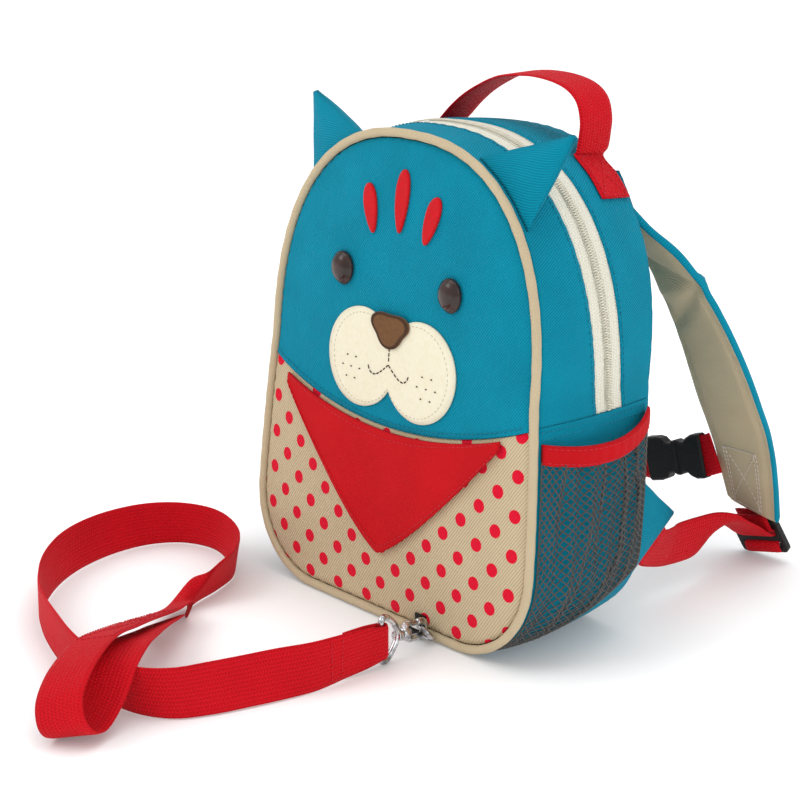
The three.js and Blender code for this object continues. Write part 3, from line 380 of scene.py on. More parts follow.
def mix_node(tree, share, a, b, how="MIX"):
    node = tree.nodes.new("ShaderNodeMix")
    node.data_type, node.blend_type = "RGBA", how
    for i, value in ((0, share), (6, a), (7, b)):
        if isinstance(value, (int, float)):
            node.inputs[i].default_value = value
        elif isinstance(value, tuple):
            node.inputs[i].default_value = (*value, 1)
        else:
            tree.links.new(value, node.inputs[i])
    return node.outputs[2]


def group(name, inputs, outputs):
    """A node group with float inputs (name, default) and outputs (name, kind)."""
    tree = bpy.data.node_groups.new(name, "ShaderNodeTree")
    for label, value in inputs:
        if isinstance(value, tuple):
            tree.interface.new_socket(label, in_out="INPUT",
                                      socket_type="NodeSocketColor").default_value = (*value, 1)
        else:
            tree.interface.new_socket(label, in_out="INPUT",
                                      socket_type="NodeSocketFloat").default_value = value
    for label, kind in outputs:
        tree.interface.new_socket(label, in_out="OUTPUT", socket_type="NodeSocket" + kind)
    return tree, tree.nodes.new("NodeGroupInput"), tree.nodes.new("NodeGroupOutput")


def cloth_axes(tree):
    """The cloth's own map as two lengths in metres."""
    flat = tree.nodes.new("ShaderNodeUVMap")
    flat.uv_map = "cloth_map"
    parts = tree.nodes.new("ShaderNodeSeparateXYZ")
    tree.links.new(flat.outputs["UV"], parts.inputs[0])
    return flat.outputs["UV"], parts.outputs[0], parts.outputs[1]


# Weave of the webbing: fine herringbone ribs run along it and weft ridges cross them. One weave
# makes the tether, hang loop, chest strap and adjusters in red, and the zip tapes in cream.
webbing_weave, weave_in, weave_out = group(
    "webbing_weave", [("Colour", (0.6, 0.01, 0.04)), ("Rib mm", 1.25), ("Weft mm", 1.0)],
    [("Colour", "Color"), ("Roughness", "Float"), ("Height", "Float")])
place_uv, along_cloth, across_cloth = cloth_axes(webbing_weave)
rib_wide = math_node(webbing_weave, "MULTIPLY", weave_in.outputs["Rib mm"], MM)
rib = math_node(webbing_weave, "DIVIDE", across_cloth, rib_wide)
rib_row = math_node(webbing_weave, "FLOOR", rib)
slant = math_node(webbing_weave, "PINGPONG", rib, 1)
weft_wide = math_node(webbing_weave, "MULTIPLY", weave_in.outputs["Weft mm"], MM)
weft = math_node(webbing_weave, "DIVIDE", along_cloth, weft_wide)
weft = math_node(webbing_weave, "ADD", weft, math_node(webbing_weave, "MULTIPLY", slant, 0.5))
weft = math_node(webbing_weave, "ADD", weft, math_node(webbing_weave, "MULTIPLY", rib_row, 0.5))
yarn = math_node(webbing_weave, "SINE", math_node(webbing_weave, "MULTIPLY", weft, math.tau))
groove = math_node(webbing_weave, "SINE", math_node(webbing_weave, "MULTIPLY", rib, math.tau))
height = math_node(webbing_weave, "ADD", math_node(webbing_weave, "MULTIPLY", yarn, 0.5),
                   math_node(webbing_weave, "MULTIPLY", groove, 0.35))
fuzz = webbing_weave.nodes.new("ShaderNodeTexNoise")
fuzz.inputs["Scale"].default_value = 1900
wide_tone = webbing_weave.nodes.new("ShaderNodeTexNoise")
wide_tone.inputs["Scale"].default_value = 26
for node in (fuzz, wide_tone):
    webbing_weave.links.new(place_uv, node.inputs["Vector"])
height = math_node(webbing_weave, "ADD", height,
                   math_node(webbing_weave, "MULTIPLY", fuzz.outputs["Fac"], 0.5))
# Colour follows the weave's height, lighter on the crests and dim in the grooves: painted shade of the ribs and weft
# ridges.
painted_yarn_shade = math_node(webbing_weave, "MULTIPLY_ADD", height, 0.42, 0.22, True)
yarn_with_painted_shade = mix_node(webbing_weave, 1.0, weave_in.outputs["Colour"],
                      ramp_node(webbing_weave, painted_yarn_shade,
                                [(0, (0.22, 0.22, 0.22)), (1, (0.74, 0.74, 0.74))]), "OVERLAY")
toned = mix_node(webbing_weave, 0.5, yarn_with_painted_shade,
                 ramp_node(webbing_weave, wide_tone.outputs["Fac"],
                           [(0.3, (0.42, 0.42, 0.42)), (0.7, (0.58, 0.58, 0.58))]), "OVERLAY")
webbing_weave.links.new(toned, weave_out.inputs["Colour"])
webbing_weave.links.new(math_node(webbing_weave, "MULTIPLY_ADD", fuzz.outputs["Fac"], 0.2, 0.0),
                        weave_out.inputs["Roughness"])
webbing_weave.links.new(height, weave_out.inputs["Height"])


def bumped(tree, shader, height, depth_mm):
    bump = tree.nodes.new("ShaderNodeBump")
    bump.inputs["Distance"].default_value = depth_mm * MM
    tree.links.new(height, bump.inputs["Height"])
    tree.links.new(bump.outputs["Normal"], shader.inputs["Normal"])


def webbing_finish(name, colour):
    finish, tree, shader = new_finish(name, sheen=0.02, sheen_rough=0.4, specular=0.1)
    weave = tree.nodes.new("ShaderNodeGroup")
    weave.node_tree = webbing_weave
    weave.inputs["Colour"].default_value = (*colour, 1)
    weave.inputs["Rib mm"].default_value = 2.1
    weave.inputs["Weft mm"].default_value = 1.7
    tree.links.new(weave.outputs["Colour"], shader.inputs["Base Color"])
    tree.links.new(math_node(tree, "ADD", weave.outputs["Roughness"], 0.55), shader.inputs["Roughness"])
    bumped(tree, shader, weave.outputs["Height"], 0.34)
    return finish


red_webbing = webbing_finish("red_webbing", (0.68, 0.005, 0.015))


def threads(name, runs, colour_finish, gauge=0.32):
    """Stitches as short raised threads. runs holds lists of (start, end, outward) in millimetres."""
    points, faces = [], []
    for start, end, outward in runs:
        start, end, outward = Vector(start), Vector(end), Vector(outward).normalized()
        along = end - start
        if along.length < 0.2:
            continue
        side = along.cross(outward).normalized()
        base = len(points)
        for share, size, lift in ((0, 0.35, -0.25), (0.2, 0.95, 0.35), (0.8, 0.95, 0.35), (1, 0.35, -0.25)):
            middle = start + along * share + outward * gauge * lift
            for k in range(6):
                angle = k / 6 * math.tau
                points.append(middle + side * gauge * size * math.cos(angle)
                              + outward * gauge * size * 0.8 * math.sin(angle))
        faces += tube_faces(4, 6, base)
    piece = mesh_piece(name, points, faces)
    piece.data.materials.append(colour_finish)
    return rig.ride(piece, "pack")


def stitch_path(path, outwards, length=2.4, gap=0.9):
    """Cuts a path in millimetres into stitches: (start, end, outward) for each."""
    runs, walked, start = [], 0.0, 0.0
    marks = [0.0]
    for a, b in zip(path, path[1:]):
        marks.append(marks[-1] + (Vector(b) - Vector(a)).length)

    def at(distance):
        for i in range(len(marks) - 1):
            if distance <= marks[i + 1] or i == len(marks) - 2:
                share = (distance - marks[i]) / max(1e-6, marks[i + 1] - marks[i])
                return (Vector(path[i]).lerp(Vector(path[i + 1]), min(1, share)),
                        Vector(outwards[i]).lerp(Vector(outwards[i + 1]), min(1, share)))

    while start + length <= marks[-1]:
        a, out = at(start)
        b, _ = at(start + length)
        runs.append((a, b, out))
        start += length + gap
    return runs


def thread_finish(name, colour):
    finish, tree, shader = new_finish(name, rough=0.6, specular=0.3)
    twist = tree.nodes.new("ShaderNodeTexWave")
    twist.inputs["Scale"].default_value = 900
    twist.inputs["Distortion"].default_value = 2
    place = tree.nodes.new("ShaderNodeTexCoord")
    tree.links.new(place.outputs["Object"], twist.inputs["Vector"])
    # The twist's grooves are coloured 0.7 times as bright as its crests: painted shade.
    darker = tuple(c * 0.7 for c in colour)
    tree.links.new(ramp_node(tree, twist.outputs["Fac"], [(0, darker), (1, colour)]),
                   shader.inputs["Base Color"])
    bumped(tree, shader, twist.outputs["Fac"], 0.05)
    return finish


red_thread = thread_finish("red_thread", (0.68, 0.014, 0.03))

TETHER_STEPS = 6
tether, tether_line, tether_along = webbing("tether_strap_web", TETHER_ROUTE, steps=TETHER_STEPS)
tether.data.materials.append(red_webbing)
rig.ride(tether, "pack")
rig.replaces(tether, "tether_strap")
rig.slot(tether, "red_webbing")
tether_path = [tuple(c * MM for c in p) for p in tether_line]

# The hand loop is sewn shut by two boxes of stitching, and the end round the hook's eye by two
# short bars of it.
web_rows = smooth_rows(TETHER_ROUTE, TETHER_STEPS)


def on_web(rows, place, side, lift):
    """A point on a strap's face: place counts rows, side is -1 to 1 across, lift is off the middle."""
    i = max(0, min(len(rows) - 2, int(place)))
    row = [a + (b - a) * (place - i) for a, b in zip(rows[i], rows[i + 1])]
    width = Vector(row[3:6])
    face = (Vector(rows[i + 1][:3]) - Vector(rows[i][:3])).cross(width).normalized()
    return Vector(row[:3]) + width * 0.5 * side + face * lift, face * (1 if lift > 0 else -1)


def box_stitch(rows, first, last, lift, inset=0.82, cross=True):
    corners = [(first, -inset), (last, -inset), (last, inset), (first, inset), (first, -inset)]
    lines = [list(zip(corners, corners[1:]))[k] for k in range(4)]
    if cross:
        lines += [((first, -inset), (last, inset)), ((first, inset), (last, -inset))]
    runs = []
    for (p0, s0), (p1, s1) in lines:
        path = [on_web(rows, p0 + (p1 - p0) * k / 12, s0 + (s1 - s0) * k / 12, lift) for k in range(13)]
        runs += stitch_path([p for p, _ in path], [n for _, n in path])
    return runs


box_start = TETHER_STEPS * 39
top_face = 1 if on_web(web_rows, box_start + 1, 0, 1)[1].z > 0 else -1
runs = []
for first, last in ((box_start - 2, box_start + 13), (box_start - 12, box_start - 4)):
    runs += box_stitch(web_rows, first, last, top_face * (WEB_THICK / 2 + 0.15))
for place in (8 * TETHER_STEPS + 1, 8 * TETHER_STEPS + 3):
    for face in (1, -1):
        line = [on_web(web_rows, place, -0.85 + 1.7 * k / 8, face * (WEB_THICK / 2 + 0.1)) for k in range(9)]
        runs += stitch_path([p for p, _ in line], [n for _, n in line])
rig.slot(threads("tether_stitches", runs, red_thread), "red_webbing")


# Front of the bag: two cloths of the domed face panel, teal twill above and dotted twill
# below, meeting in a dipping seam. Foam behind them makes the face swell a little.
SEAM_HEIGHT, SEAM_RISE, BOTTOM_HALF, SPRING_HALF, SPRING_HEIGHT = 271, 3, 110, 104, 145
CORNER, ARCH_POWER, DEPTH, FRONT_LEAN, BACK_LEAN, BACK_SHARE, PUFF = 49, 2.39, 87.4, 0.085, 0.099, 0.987, 4
SEAT, CLOTH, CROWN, CROWN_REACH, PIPING = 0.3, 1.6, 5, 26, 2.5


def rough_outline(turn):
    half = turn * 2 if turn <= 0.5 else (1 - turn) * 2
    side = 1 if turn <= 0.5 else -1
    if half < 0.2:
        x, z = half / 0.2 * (BOTTOM_HALF - CORNER), SEAM_RISE
    elif half < 0.4:
        angle = (half - 0.2) / 0.2 * math.pi / 2
        x = BOTTOM_HALF - CORNER * (1 - math.sin(angle))
        z = SEAM_RISE + CORNER - CORNER * math.cos(angle)
    elif half < 0.6:
        rise = (half - 0.4) / 0.2
        x = BOTTOM_HALF + (SPRING_HALF - BOTTOM_HALF) * rise ** 1.5
        z = SEAM_RISE + CORNER + (SPRING_HEIGHT - SEAM_RISE - CORNER) * rise
    else:
        angle = (half - 0.6) / 0.4 * math.pi / 2
        x = SPRING_HALF * max(0.0, math.cos(angle)) ** (2 / ARCH_POWER)
        z = SPRING_HEIGHT + (SEAM_HEIGHT - SPRING_HEIGHT) * math.sin(angle) ** (2 / ARCH_POWER)
    return side * x, z


traced = [rough_outline(i / 2400) for i in range(2401)]
walked = [0.0]
for p, q in zip(traced, traced[1:]):
    walked.append(walked[-1] + math.hypot(q[0] - p[0], q[1] - p[1]))
GIRTH = walked[-1]


def outline(s):
    s = (s % 1.0) * GIRTH
    low, high = 0, len(walked) - 1
    while high - low > 1:
        mid = (low + high) // 2
        if walked[mid] <= s:
            low = mid
        else:
            high = mid
    share = (s - walked[low]) / max(1e-9, walked[high] - walked[low])
    return (traced[low][0] + (traced[high][0] - traced[low][0]) * share,
            traced[low][1] + (traced[high][1] - traced[low][1]) * share)


def outline_normal(s):
    a, b = outline(s - 0.004), outline(s + 0.004)
    long = math.hypot(b[0] - a[0], b[1] - a[1])
    return (b[1] - a[1]) / long, -(b[0] - a[0]) / long


def share_at(height):
    low, high = 0.04, 0.5
    for _ in range(36):
        mid = (low + high) / 2
        low, high = (mid, high) if outline(mid)[1] < height else (low, mid)
    return (low + high) / 2


def mix(a, b, t):
    return a + (b - a) * t


def front_depth(z):
    return -DEPTH / 2 + FRONT_LEAN * z


def back_depth(z):
    return DEPTH / 2 + BACK_LEAN * z


rim_samples = [outline(i / 120) for i in range(120)]


def edge_distance(x, z):
    return min(math.hypot(p[0] - x, p[1] - z) for p in rim_samples)


def ripple(x, y, z, size, seed=0.0):
    """Soft unevenness of cloth, -1 to 1, over that size in millimetres."""
    return noise.noise(Vector((x / size + seed, y / size - seed, z / size + 2 * seed)))


def front_point(x, z, proud):
    near = edge_distance(x, z)
    crown = CROWN * (1 - math.exp(-near / CROWN_REACH)) + 0.5 * ripple(x, 0, z, 46) * min(1, near / 18)
    return Vector((x, front_depth(z) - crown - proud, z))


def inset_outline(s, inset):
    (x, z), (nx, nz) = outline(s), outline_normal(s)
    return x - nx * inset, z - nz * inset


def shell(name, columns, rows, surface, thickness, flat, wrap=False):
    """A wall of cloth: surface(u, v, proud) is its place, flat(u, v) its map; wrap joins the ends of u."""
    across = columns if wrap else columns + 1
    points = []
    for proud in (0.0, -thickness):
        for j in range(rows + 1):
            points += [surface(i / columns, j / rows, proud) for i in range(across)]
    half = across * (rows + 1)
    faces, values = [], []
    for j in range(rows):
        for i in range(columns):
            n = (i + 1) % across
            a, b, c, d = j * across + i, j * across + n, (j + 1) * across + n, (j + 1) * across + i
            cell = [(i, j), (i + 1, j), (i + 1, j + 1), (i, j + 1)]
            faces += [(a, b, c, d), (a + half, d + half, c + half, b + half)]
            values += [cell, [cell[0], cell[3], cell[2], cell[1]]]
            for p, q, m, k, bare in ((a, b, cell[0], cell[1], j == 0),
                                     (c, d, cell[2], cell[3], j == rows - 1),
                                     (b, c, cell[1], cell[2], i == columns - 1 and not wrap),
                                     (d, a, cell[3], cell[0], i == 0 and not wrap)):
                if bare:
                    faces.append((p, p + half, q + half, q))
                    values.append([m, m, k, k])
    piece = mesh_piece(name, points, faces)
    if len(piece.data.polygons) == len(faces):
        set_flat_map(piece, [flat(i / columns, j / rows) for cell in values for i, j in cell])
    solid = bmesh.new()
    solid.from_mesh(piece.data)
    bmesh.ops.remove_doubles(solid, verts=solid.verts, dist=0.00002)
    bmesh.ops.recalc_face_normals(solid, faces=solid.faces)
    solid.to_mesh(piece.data)
    solid.free()
    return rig.ride(piece, "pack")


# Twill: diagonal ridges crossed by single yarns, a little fuzz and uneven dye. The body, the
# neckerchief, the piping and the straps are cut from it, each in its own colour and pitch.
twill, twill_in, twill_out = group(
    "twill_cloth", [("Colour", (0.0, 0.3, 0.4)), ("Pitch mm", 1.2), ("Contrast", 0.5), ("Mottle", 0.5)],
    [("Colour", "Color"), ("Roughness", "Float"), ("Height", "Float")])
twill_uv, twill_u, twill_v = cloth_axes(twill)
pitch = math_node(twill, "MULTIPLY", twill_in.outputs["Pitch mm"], MM)
ridge = math_node(twill, "DIVIDE", math_node(twill, "SUBTRACT", math_node(twill, "MULTIPLY", twill_u, 0.82),
                                             math_node(twill, "MULTIPLY", twill_v, 0.57)), pitch)
crossing = math_node(twill, "DIVIDE", math_node(twill, "ADD", twill_u, twill_v),
                     math_node(twill, "MULTIPLY", pitch, 0.55))
ridge_wave = math_node(twill, "SINE", math_node(twill, "MULTIPLY", ridge, math.tau))
yarn_wave = math_node(twill, "SINE", math_node(twill, "MULTIPLY", crossing, math.tau))
twill_fuzz = twill.nodes.new("ShaderNodeTexNoise")
twill_fuzz.inputs["Scale"].default_value = 1500
twill_fuzz.inputs["Detail"].default_value = 3
dye = twill.nodes.new("ShaderNodeTexNoise")
dye.inputs["Scale"].default_value = 34
dye.inputs["Detail"].default_value = 4
for node in (twill_fuzz, dye):
    twill.links.new(twill_uv, node.inputs["Vector"])
weave_height = math_node(twill, "ADD", math_node(twill, "MULTIPLY", ridge_wave, 0.5),
                         math_node(twill, "MULTIPLY", yarn_wave, 0.22))
weave_height = math_node(twill, "ADD", weave_height,
                         math_node(twill, "MULTIPLY", twill_fuzz.outputs["Fac"], 0.5))
# Colour follows the ridge height, lighter on the ridges and dim between them: painted shade of the twill's relief.
shade = math_node(twill, "MULTIPLY_ADD", weave_height,
                  math_node(twill, "MULTIPLY", twill_in.outputs["Contrast"], 0.3), 0.44)
ridge_colour_with_painted_shade = mix_node(twill, 1.0, twill_in.outputs["Colour"],
                ramp_node(twill, shade, [(0.3, (0.36, 0.36, 0.36)), (0.7, (0.64, 0.64, 0.64))]), "OVERLAY")
mottled = mix_node(twill, twill_in.outputs["Mottle"], ridge_colour_with_painted_shade,
                   ramp_node(twill, dye.outputs["Fac"],
                             [(0.35, (0.44, 0.44, 0.44)), (0.65, (0.56, 0.56, 0.56))]), "OVERLAY")
twill.links.new(mottled, twill_out.inputs["Colour"])
twill.links.new(math_node(twill, "MULTIPLY_ADD", twill_fuzz.outputs["Fac"], 0.25, 0.0),
                twill_out.inputs["Roughness"])
twill.links.new(weave_height, twill_out.inputs["Height"])


def twill_finish(name, colour, pitch_mm, contrast, mottle=0.5, depth_mm=0.2, colour_link=None):
    finish, tree, shader = new_finish(name, sheen=0.02, sheen_rough=0.5, specular=0.08)
    cloth = tree.nodes.new("ShaderNodeGroup")
    cloth.node_tree = twill
    cloth.inputs["Colour"].default_value = (*colour, 1)
    if colour_link:
        tree.links.new(colour_link(tree), cloth.inputs["Colour"])
    cloth.inputs["Pitch mm"].default_value = pitch_mm
    cloth.inputs["Contrast"].default_value = contrast
    cloth.inputs["Mottle"].default_value = mottle
    tree.links.new(cloth.outputs["Colour"], shader.inputs["Base Color"])
    tree.links.new(math_node(tree, "ADD", cloth.outputs["Roughness"], 0.6), shader.inputs["Roughness"])
    bumped(tree, shader, cloth.outputs["Height"], depth_mm)
    return finish


TEAL = (0.0, 0.238, 0.355)
BEIGE = (0.56, 0.45, 0.29)
RED = (0.57, 0.006, 0.011)
teal_twill = twill_finish("teal_twill", TEAL, pitch_mm=1.3, contrast=0.9)
DOT_ACROSS, DOT_UP, DOT_RADIUS, DOT_EDGE = 0.0245, 0.0215, 0.0039, 0.00022


def dots(tree):
    """Round dots in staggered rows."""
    uv, u, v = cloth_axes(tree)
    nearest = None
    for shift in (0.0, 0.5):
        parts = []
        for axis, pitch_m in ((u, DOT_ACROSS), (v, DOT_UP)):
            cell = math_node(tree, "ADD", math_node(tree, "DIVIDE", axis, pitch_m), shift)
            off = math_node(tree, "SUBTRACT", math_node(tree, "FRACT", cell), 0.5)
            off = math_node(tree, "MULTIPLY", off, pitch_m)
            parts.append(math_node(tree, "MULTIPLY", off, off))
        distance = math_node(tree, "SQRT", math_node(tree, "ADD", parts[0], parts[1]))
        nearest = distance if nearest is None else math_node(tree, "MINIMUM", nearest, distance)
    edge = tree.nodes.new("ShaderNodeTexNoise")
    edge.inputs["Scale"].default_value = 900
    tree.links.new(uv, edge.inputs["Vector"])
    ragged = math_node(tree, "MULTIPLY", math_node(tree, "SUBTRACT", edge.outputs["Fac"], 0.5), 0.0004)
    radius = math_node(tree, "ADD", nearest, ragged)
    mask = math_node(tree, "DIVIDE", math_node(tree, "SUBTRACT", DOT_RADIUS, radius), DOT_EDGE, clamp=True)
    return mix_node(tree, mask, BEIGE, (0.72, 0.006, 0.03))


dotted_twill = twill_finish("dotted_twill", BEIGE, pitch_mm=1.45, contrast=1.0, mottle=0.3, depth_mm=0.16,
                            colour_link=dots)

PANEL_INSET = PIPING + 2 * SEAT - 0.1
COLLAR_MIDDLE, COLLAR_EDGE = 112, 132
collar_share = share_at(COLLAR_EDGE)
COLLAR_HALF = inset_outline(collar_share, PANEL_INSET)[0]


def collar(x):
    return mix(COLLAR_MIDDLE, COLLAR_EDGE, (x / COLLAR_HALF) ** 2)


def front_cloth(name, upper, finish, nodes_replaced):
    side = 1 if upper else -1

    def place(u, v):
        share = mix(1 - collar_share, collar_share, u) if upper else mix(-collar_share, collar_share, u)
        rim = inset_outline(share, PANEL_INSET)
        x = mix(-COLLAR_HALF, COLLAR_HALF, u)
        return mix(x, rim[0], v), mix(collar(x) + side * SEAT / 2, rim[1], v)

    def surface(u, v, proud):
        x, z = place(u, v)
        seam = math.exp(-abs(z - collar(x)) / 2.2)
        fan = math.sin(math.atan2(z - 130, x) * 90)
        puckers = 0.18 * math.sin(x * 1.9) * seam + 0.15 * fan * math.exp(-edge_distance(x, z) / 5)
        roll = 0.9 * math.exp(-(edge_distance(x, z) - PANEL_INSET) / 1.4)
        return front_point(x, z, proud + (0.45 * seam if upper else -0.5 * seam) + puckers - roll)

    piece = shell(name, 110, 44, surface, CLOTH, place)
    piece.data.materials.append(finish)
    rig.replaces(piece, nodes_replaced)
    return piece


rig.slot(front_cloth("face_cloth", True, teal_twill, "front_panel"), "teal_cloth")
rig.slot(front_cloth("dotted_cloth", False, dotted_twill, "lower_front_panel"), "dotted_cloth")
teal_thread = thread_finish("teal_thread", (0.0, 0.235, 0.345))


def front_line(points, proud):
    """A run of stitches laid on the front along x, z points."""
    path = [front_point(x, z, proud) for x, z in points]
    outs = [Vector((0, -1, 0.1))] * len(path)
    return path, outs


seam_x = [mix(-COLLAR_HALF + 2, COLLAR_HALF - 2, k / 60) for k in range(61)]
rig.slot(threads("collar_stitches", stitch_path(*front_line([(x, collar(x) + 3) for x in seam_x], 0.5)),
                teal_thread), "teal_cloth")


# Face: a cream felt muzzle in two round lobes, a brown felt nose edged in satin stitch, domed
# shank buttons for eyes and three red felt stripes, all sewn through the face cloth.
FELT = 1.5
felt, felt_in, felt_out = group("felt", [("Colour", (0.8, 0.75, 0.6))],
                                [("Colour", "Color"), ("Roughness", "Float"), ("Height", "Float")])
felt_place = felt.nodes.new("ShaderNodeTexCoord")
fibres = felt.nodes.new("ShaderNodeTexNoise")
fibres.inputs["Scale"].default_value, fibres.inputs["Detail"].default_value = 420, 6
clumps = felt.nodes.new("ShaderNodeTexVoronoi")
clumps.inputs["Scale"].default_value = 700
cloudy = felt.nodes.new("ShaderNodeTexNoise")
cloudy.inputs["Scale"].default_value = 40
for node in (fibres, clumps, cloudy):
    felt.links.new(felt_place.outputs["Object"], node.inputs["Vector"])
felt_height = math_node(felt, "ADD", fibres.outputs["Fac"],
                        math_node(felt, "MULTIPLY", clumps.outputs["Distance"], 0.4))
felted = mix_node(felt, 0.8, felt_in.outputs["Colour"],
                  ramp_node(felt, fibres.outputs["Fac"],
                            [(0.3, (0.43, 0.43, 0.43)), (0.7, (0.56, 0.56, 0.56))]), "OVERLAY")
felted = mix_node(felt, 0.5, felted,
                  ramp_node(felt, cloudy.outputs["Fac"],
                            [(0.3, (0.46, 0.46, 0.46)), (0.7, (0.54, 0.54, 0.54))]), "OVERLAY")
felt.links.new(felted, felt_out.inputs["Colour"])
felt.links.new(math_node(felt, "MULTIPLY_ADD", fibres.outputs["Fac"], 0.15, 0.0),
               felt_out.inputs["Roughness"])
felt.links.new(felt_height, felt_out.inputs["Height"])


def felt_finish(name, colour):
    finish, tree, shader = new_finish(name, sheen=0.1, sheen_rough=0.5, specular=0.12)
    cloth = tree.nodes.new("ShaderNodeGroup")
    cloth.node_tree = felt
    cloth.inputs["Colour"].default_value = (*colour, 1)
    tree.links.new(cloth.outputs["Colour"], shader.inputs["Base Color"])
    tree.links.new(math_node(tree, "ADD", cloth.outputs["Roughness"], 0.75), shader.inputs["Roughness"])
    bumped(tree, shader, cloth.outputs["Height"], 0.18)
    return finish


def patch(name, middle, rim, finish, node, steps, seat=SEAT, slot_name="cream_felt"):
    """A cut piece lying on the front: rim(angle) gives its edge as x, z; the edge rolls down a little."""
    def surface(u, v, proud):
        edge = rim(u * math.tau)
        x, z = mix(middle[0], edge[0], v), mix(middle[1], edge[1], v)
        roll = 0.55 * max(0.0, (v - 0.9) / 0.1) ** 2 if proud == 0 else 0.0
        dimple = 0.35 * math.exp(-((v - 0.86) / 0.035) ** 2) if proud == 0 else 0.0
        return front_point(x, z, seat + FELT + proud - roll - dimple + 0.12 * ripple(x, 3, z, 9))

    piece = shell(name, steps, 10, surface, FELT, lambda u, v: (u * 200, v * 40), wrap=True)
    piece.data.materials.append(finish)
    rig.replaces(piece, node)
    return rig.slot(piece, slot_name)


def patch_stitches(name, middle, rim, thread, inset, count):
    line = []
    for k in range(count + 1):
        edge = rim(k / count * math.tau)
        line.append((mix(middle[0], edge[0], inset), mix(middle[1], edge[1], inset)))
    return threads(name, stitch_path(*front_line(line, SEAT + FELT - 0.15), 2.0, 1.0), thread, gauge=0.26)


MUZZLE_Z, LOBE, LOBE_OFF = 147, 27, 24


def muzzle_rim(angle):
    side = 1 if math.cos(angle) >= 0 else -1
    reach = LOBE_OFF * abs(math.cos(angle)) + math.sqrt(LOBE ** 2 - (LOBE_OFF * math.sin(angle)) ** 2 * 0.9)
    return side * abs(reach * math.cos(angle)), MUZZLE_Z + reach * math.sin(angle)


cream_felt = felt_finish("cream_felt", (0.83, 0.78, 0.6))
cream_thread = thread_finish("cream_thread", (0.7, 0.64, 0.48))
brown_thread = thread_finish("brown_thread", (0.09, 0.04, 0.02))
patch("muzzle", (0, MUZZLE_Z), muzzle_rim, cream_felt, "muzzle_patch", steps=150)
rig.slot(patch_stitches("muzzle_stitches", (0, MUZZLE_Z), muzzle_rim, cream_thread, inset=0.9, count=240),
        "cream_felt")
NOSE_Z, NOSE_HALF_WIDE, NOSE_HALF_HIGH = MUZZLE_Z + 20, 14, 9.5


def nose_rim(angle):
    rounding = 1 + 0.16 * math.cos(3 * (angle + math.pi / 2))
    return NOSE_HALF_WIDE * rounding * math.cos(angle), NOSE_Z + NOSE_HALF_HIGH * rounding * math.sin(angle)


brown_felt = felt_finish("brown_felt", (0.16, 0.075, 0.03))
patch("nose", (0, NOSE_Z), nose_rim, brown_felt, "nose_patch", seat=FELT + 2 * SEAT, steps=72,
      slot_name="brown_felt")
satin = []
for k in range(110):
    edge = nose_rim(k / 110 * math.tau)
    inner = [mix((0, NOSE_Z)[n], edge[n], 0.84) for n in (0, 1)]
    satin.append((front_point(*edge, 2 * FELT + 2 * SEAT - 0.3),
                  front_point(*inner, 2 * FELT + 2 * SEAT + 0.02), (0, -1, 0.1)))
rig.slot(threads("nose_satin_edge", satin, brown_thread, gauge=0.3), "brown_felt")
mouth = []
for side in (1, -1):
    curve = [(side * 17 * math.sin(t), NOSE_Z - 20 - 7.5 * math.sin(2 * t) * (1 if t < 1.2 else 0.9))
             for t in [1.45 * k / 14 for k in range(15)]]
    mouth += stitch_path(*front_line(curve, FELT + SEAT + 0.05), 2.6, 0.5)
    for row in range(3):
        for spot in range(2 + row % 2):
            x, z = side * (27 + 7 * spot - (3.5 if row % 2 else 0)), MUZZLE_Z - 1 - 6 * row
            mouth.append((front_point(x - 0.7, z, FELT + SEAT), front_point(x + 0.7, z, FELT + SEAT),
                          (0, -1, 0.1)))
drop = [(0, mix(NOSE_Z - 10.5, NOSE_Z - 20, k / 4)) for k in range(5)]
mouth += stitch_path(*front_line(drop, FELT + SEAT + 0.05), 2.4, 0.3)
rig.slot(threads("mouth_stitches", mouth, brown_thread, gauge=0.42), "brown_felt")

stripe_felt = felt_finish("stripe_felt", RED)
for label, sx, sz, long in (("middle", 0, 236, 34), ("right", 24, 229, 27), ("left", -24, 229, 27)):
    lean = sx / 90

    def stripe_rim(angle):
        a, b = 5 * math.cos(angle) * (1 + 0.25 * math.sin(angle)), long / 2 * math.sin(angle)
        return sx + a * math.cos(lean) + b * math.sin(lean), sz + b * math.cos(lean) - a * math.sin(lean)

    patch("stripe_" + label, (sx, sz), stripe_rim, stripe_felt, "forehead_stripe_" + label, steps=60,
          slot_name="red_cloth")
    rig.slot(patch_stitches("stripe_stitches_" + label, (sx, sz), stripe_rim, red_thread, inset=0.74,
                           count=60), "red_cloth")

button_gloss, button_tree, button_shader = new_finish("brown_button", rough=0.16, specular=0.4)
swirl = button_tree.nodes.new("ShaderNodeTexNoise")
swirl.inputs["Scale"].default_value, swirl.inputs["Distortion"].default_value = 90, 1.5
button_place = button_tree.nodes.new("ShaderNodeTexCoord")
button_tree.links.new(button_place.outputs["Object"], swirl.inputs["Vector"])
button_tree.links.new(ramp_node(button_tree, swirl.outputs["Fac"],
                                [(0.3, (0.018, 0.008, 0.006)), (0.75, (0.045, 0.018, 0.013))]),
                      button_shader.inputs["Base Color"])
button_tree.links.new(math_node(button_tree, "MULTIPLY_ADD", swirl.outputs["Fac"], 0.16, 0.14),
                      button_shader.inputs["Roughness"])
button_shader.inputs["Coat Weight"].default_value = 0.1
EYE_X, EYE_Z, BUTTON_HALF_WIDE, BUTTON_HALF_HIGH, BUTTON_PROUD = 43, 193, 8.1, 9.3, 6
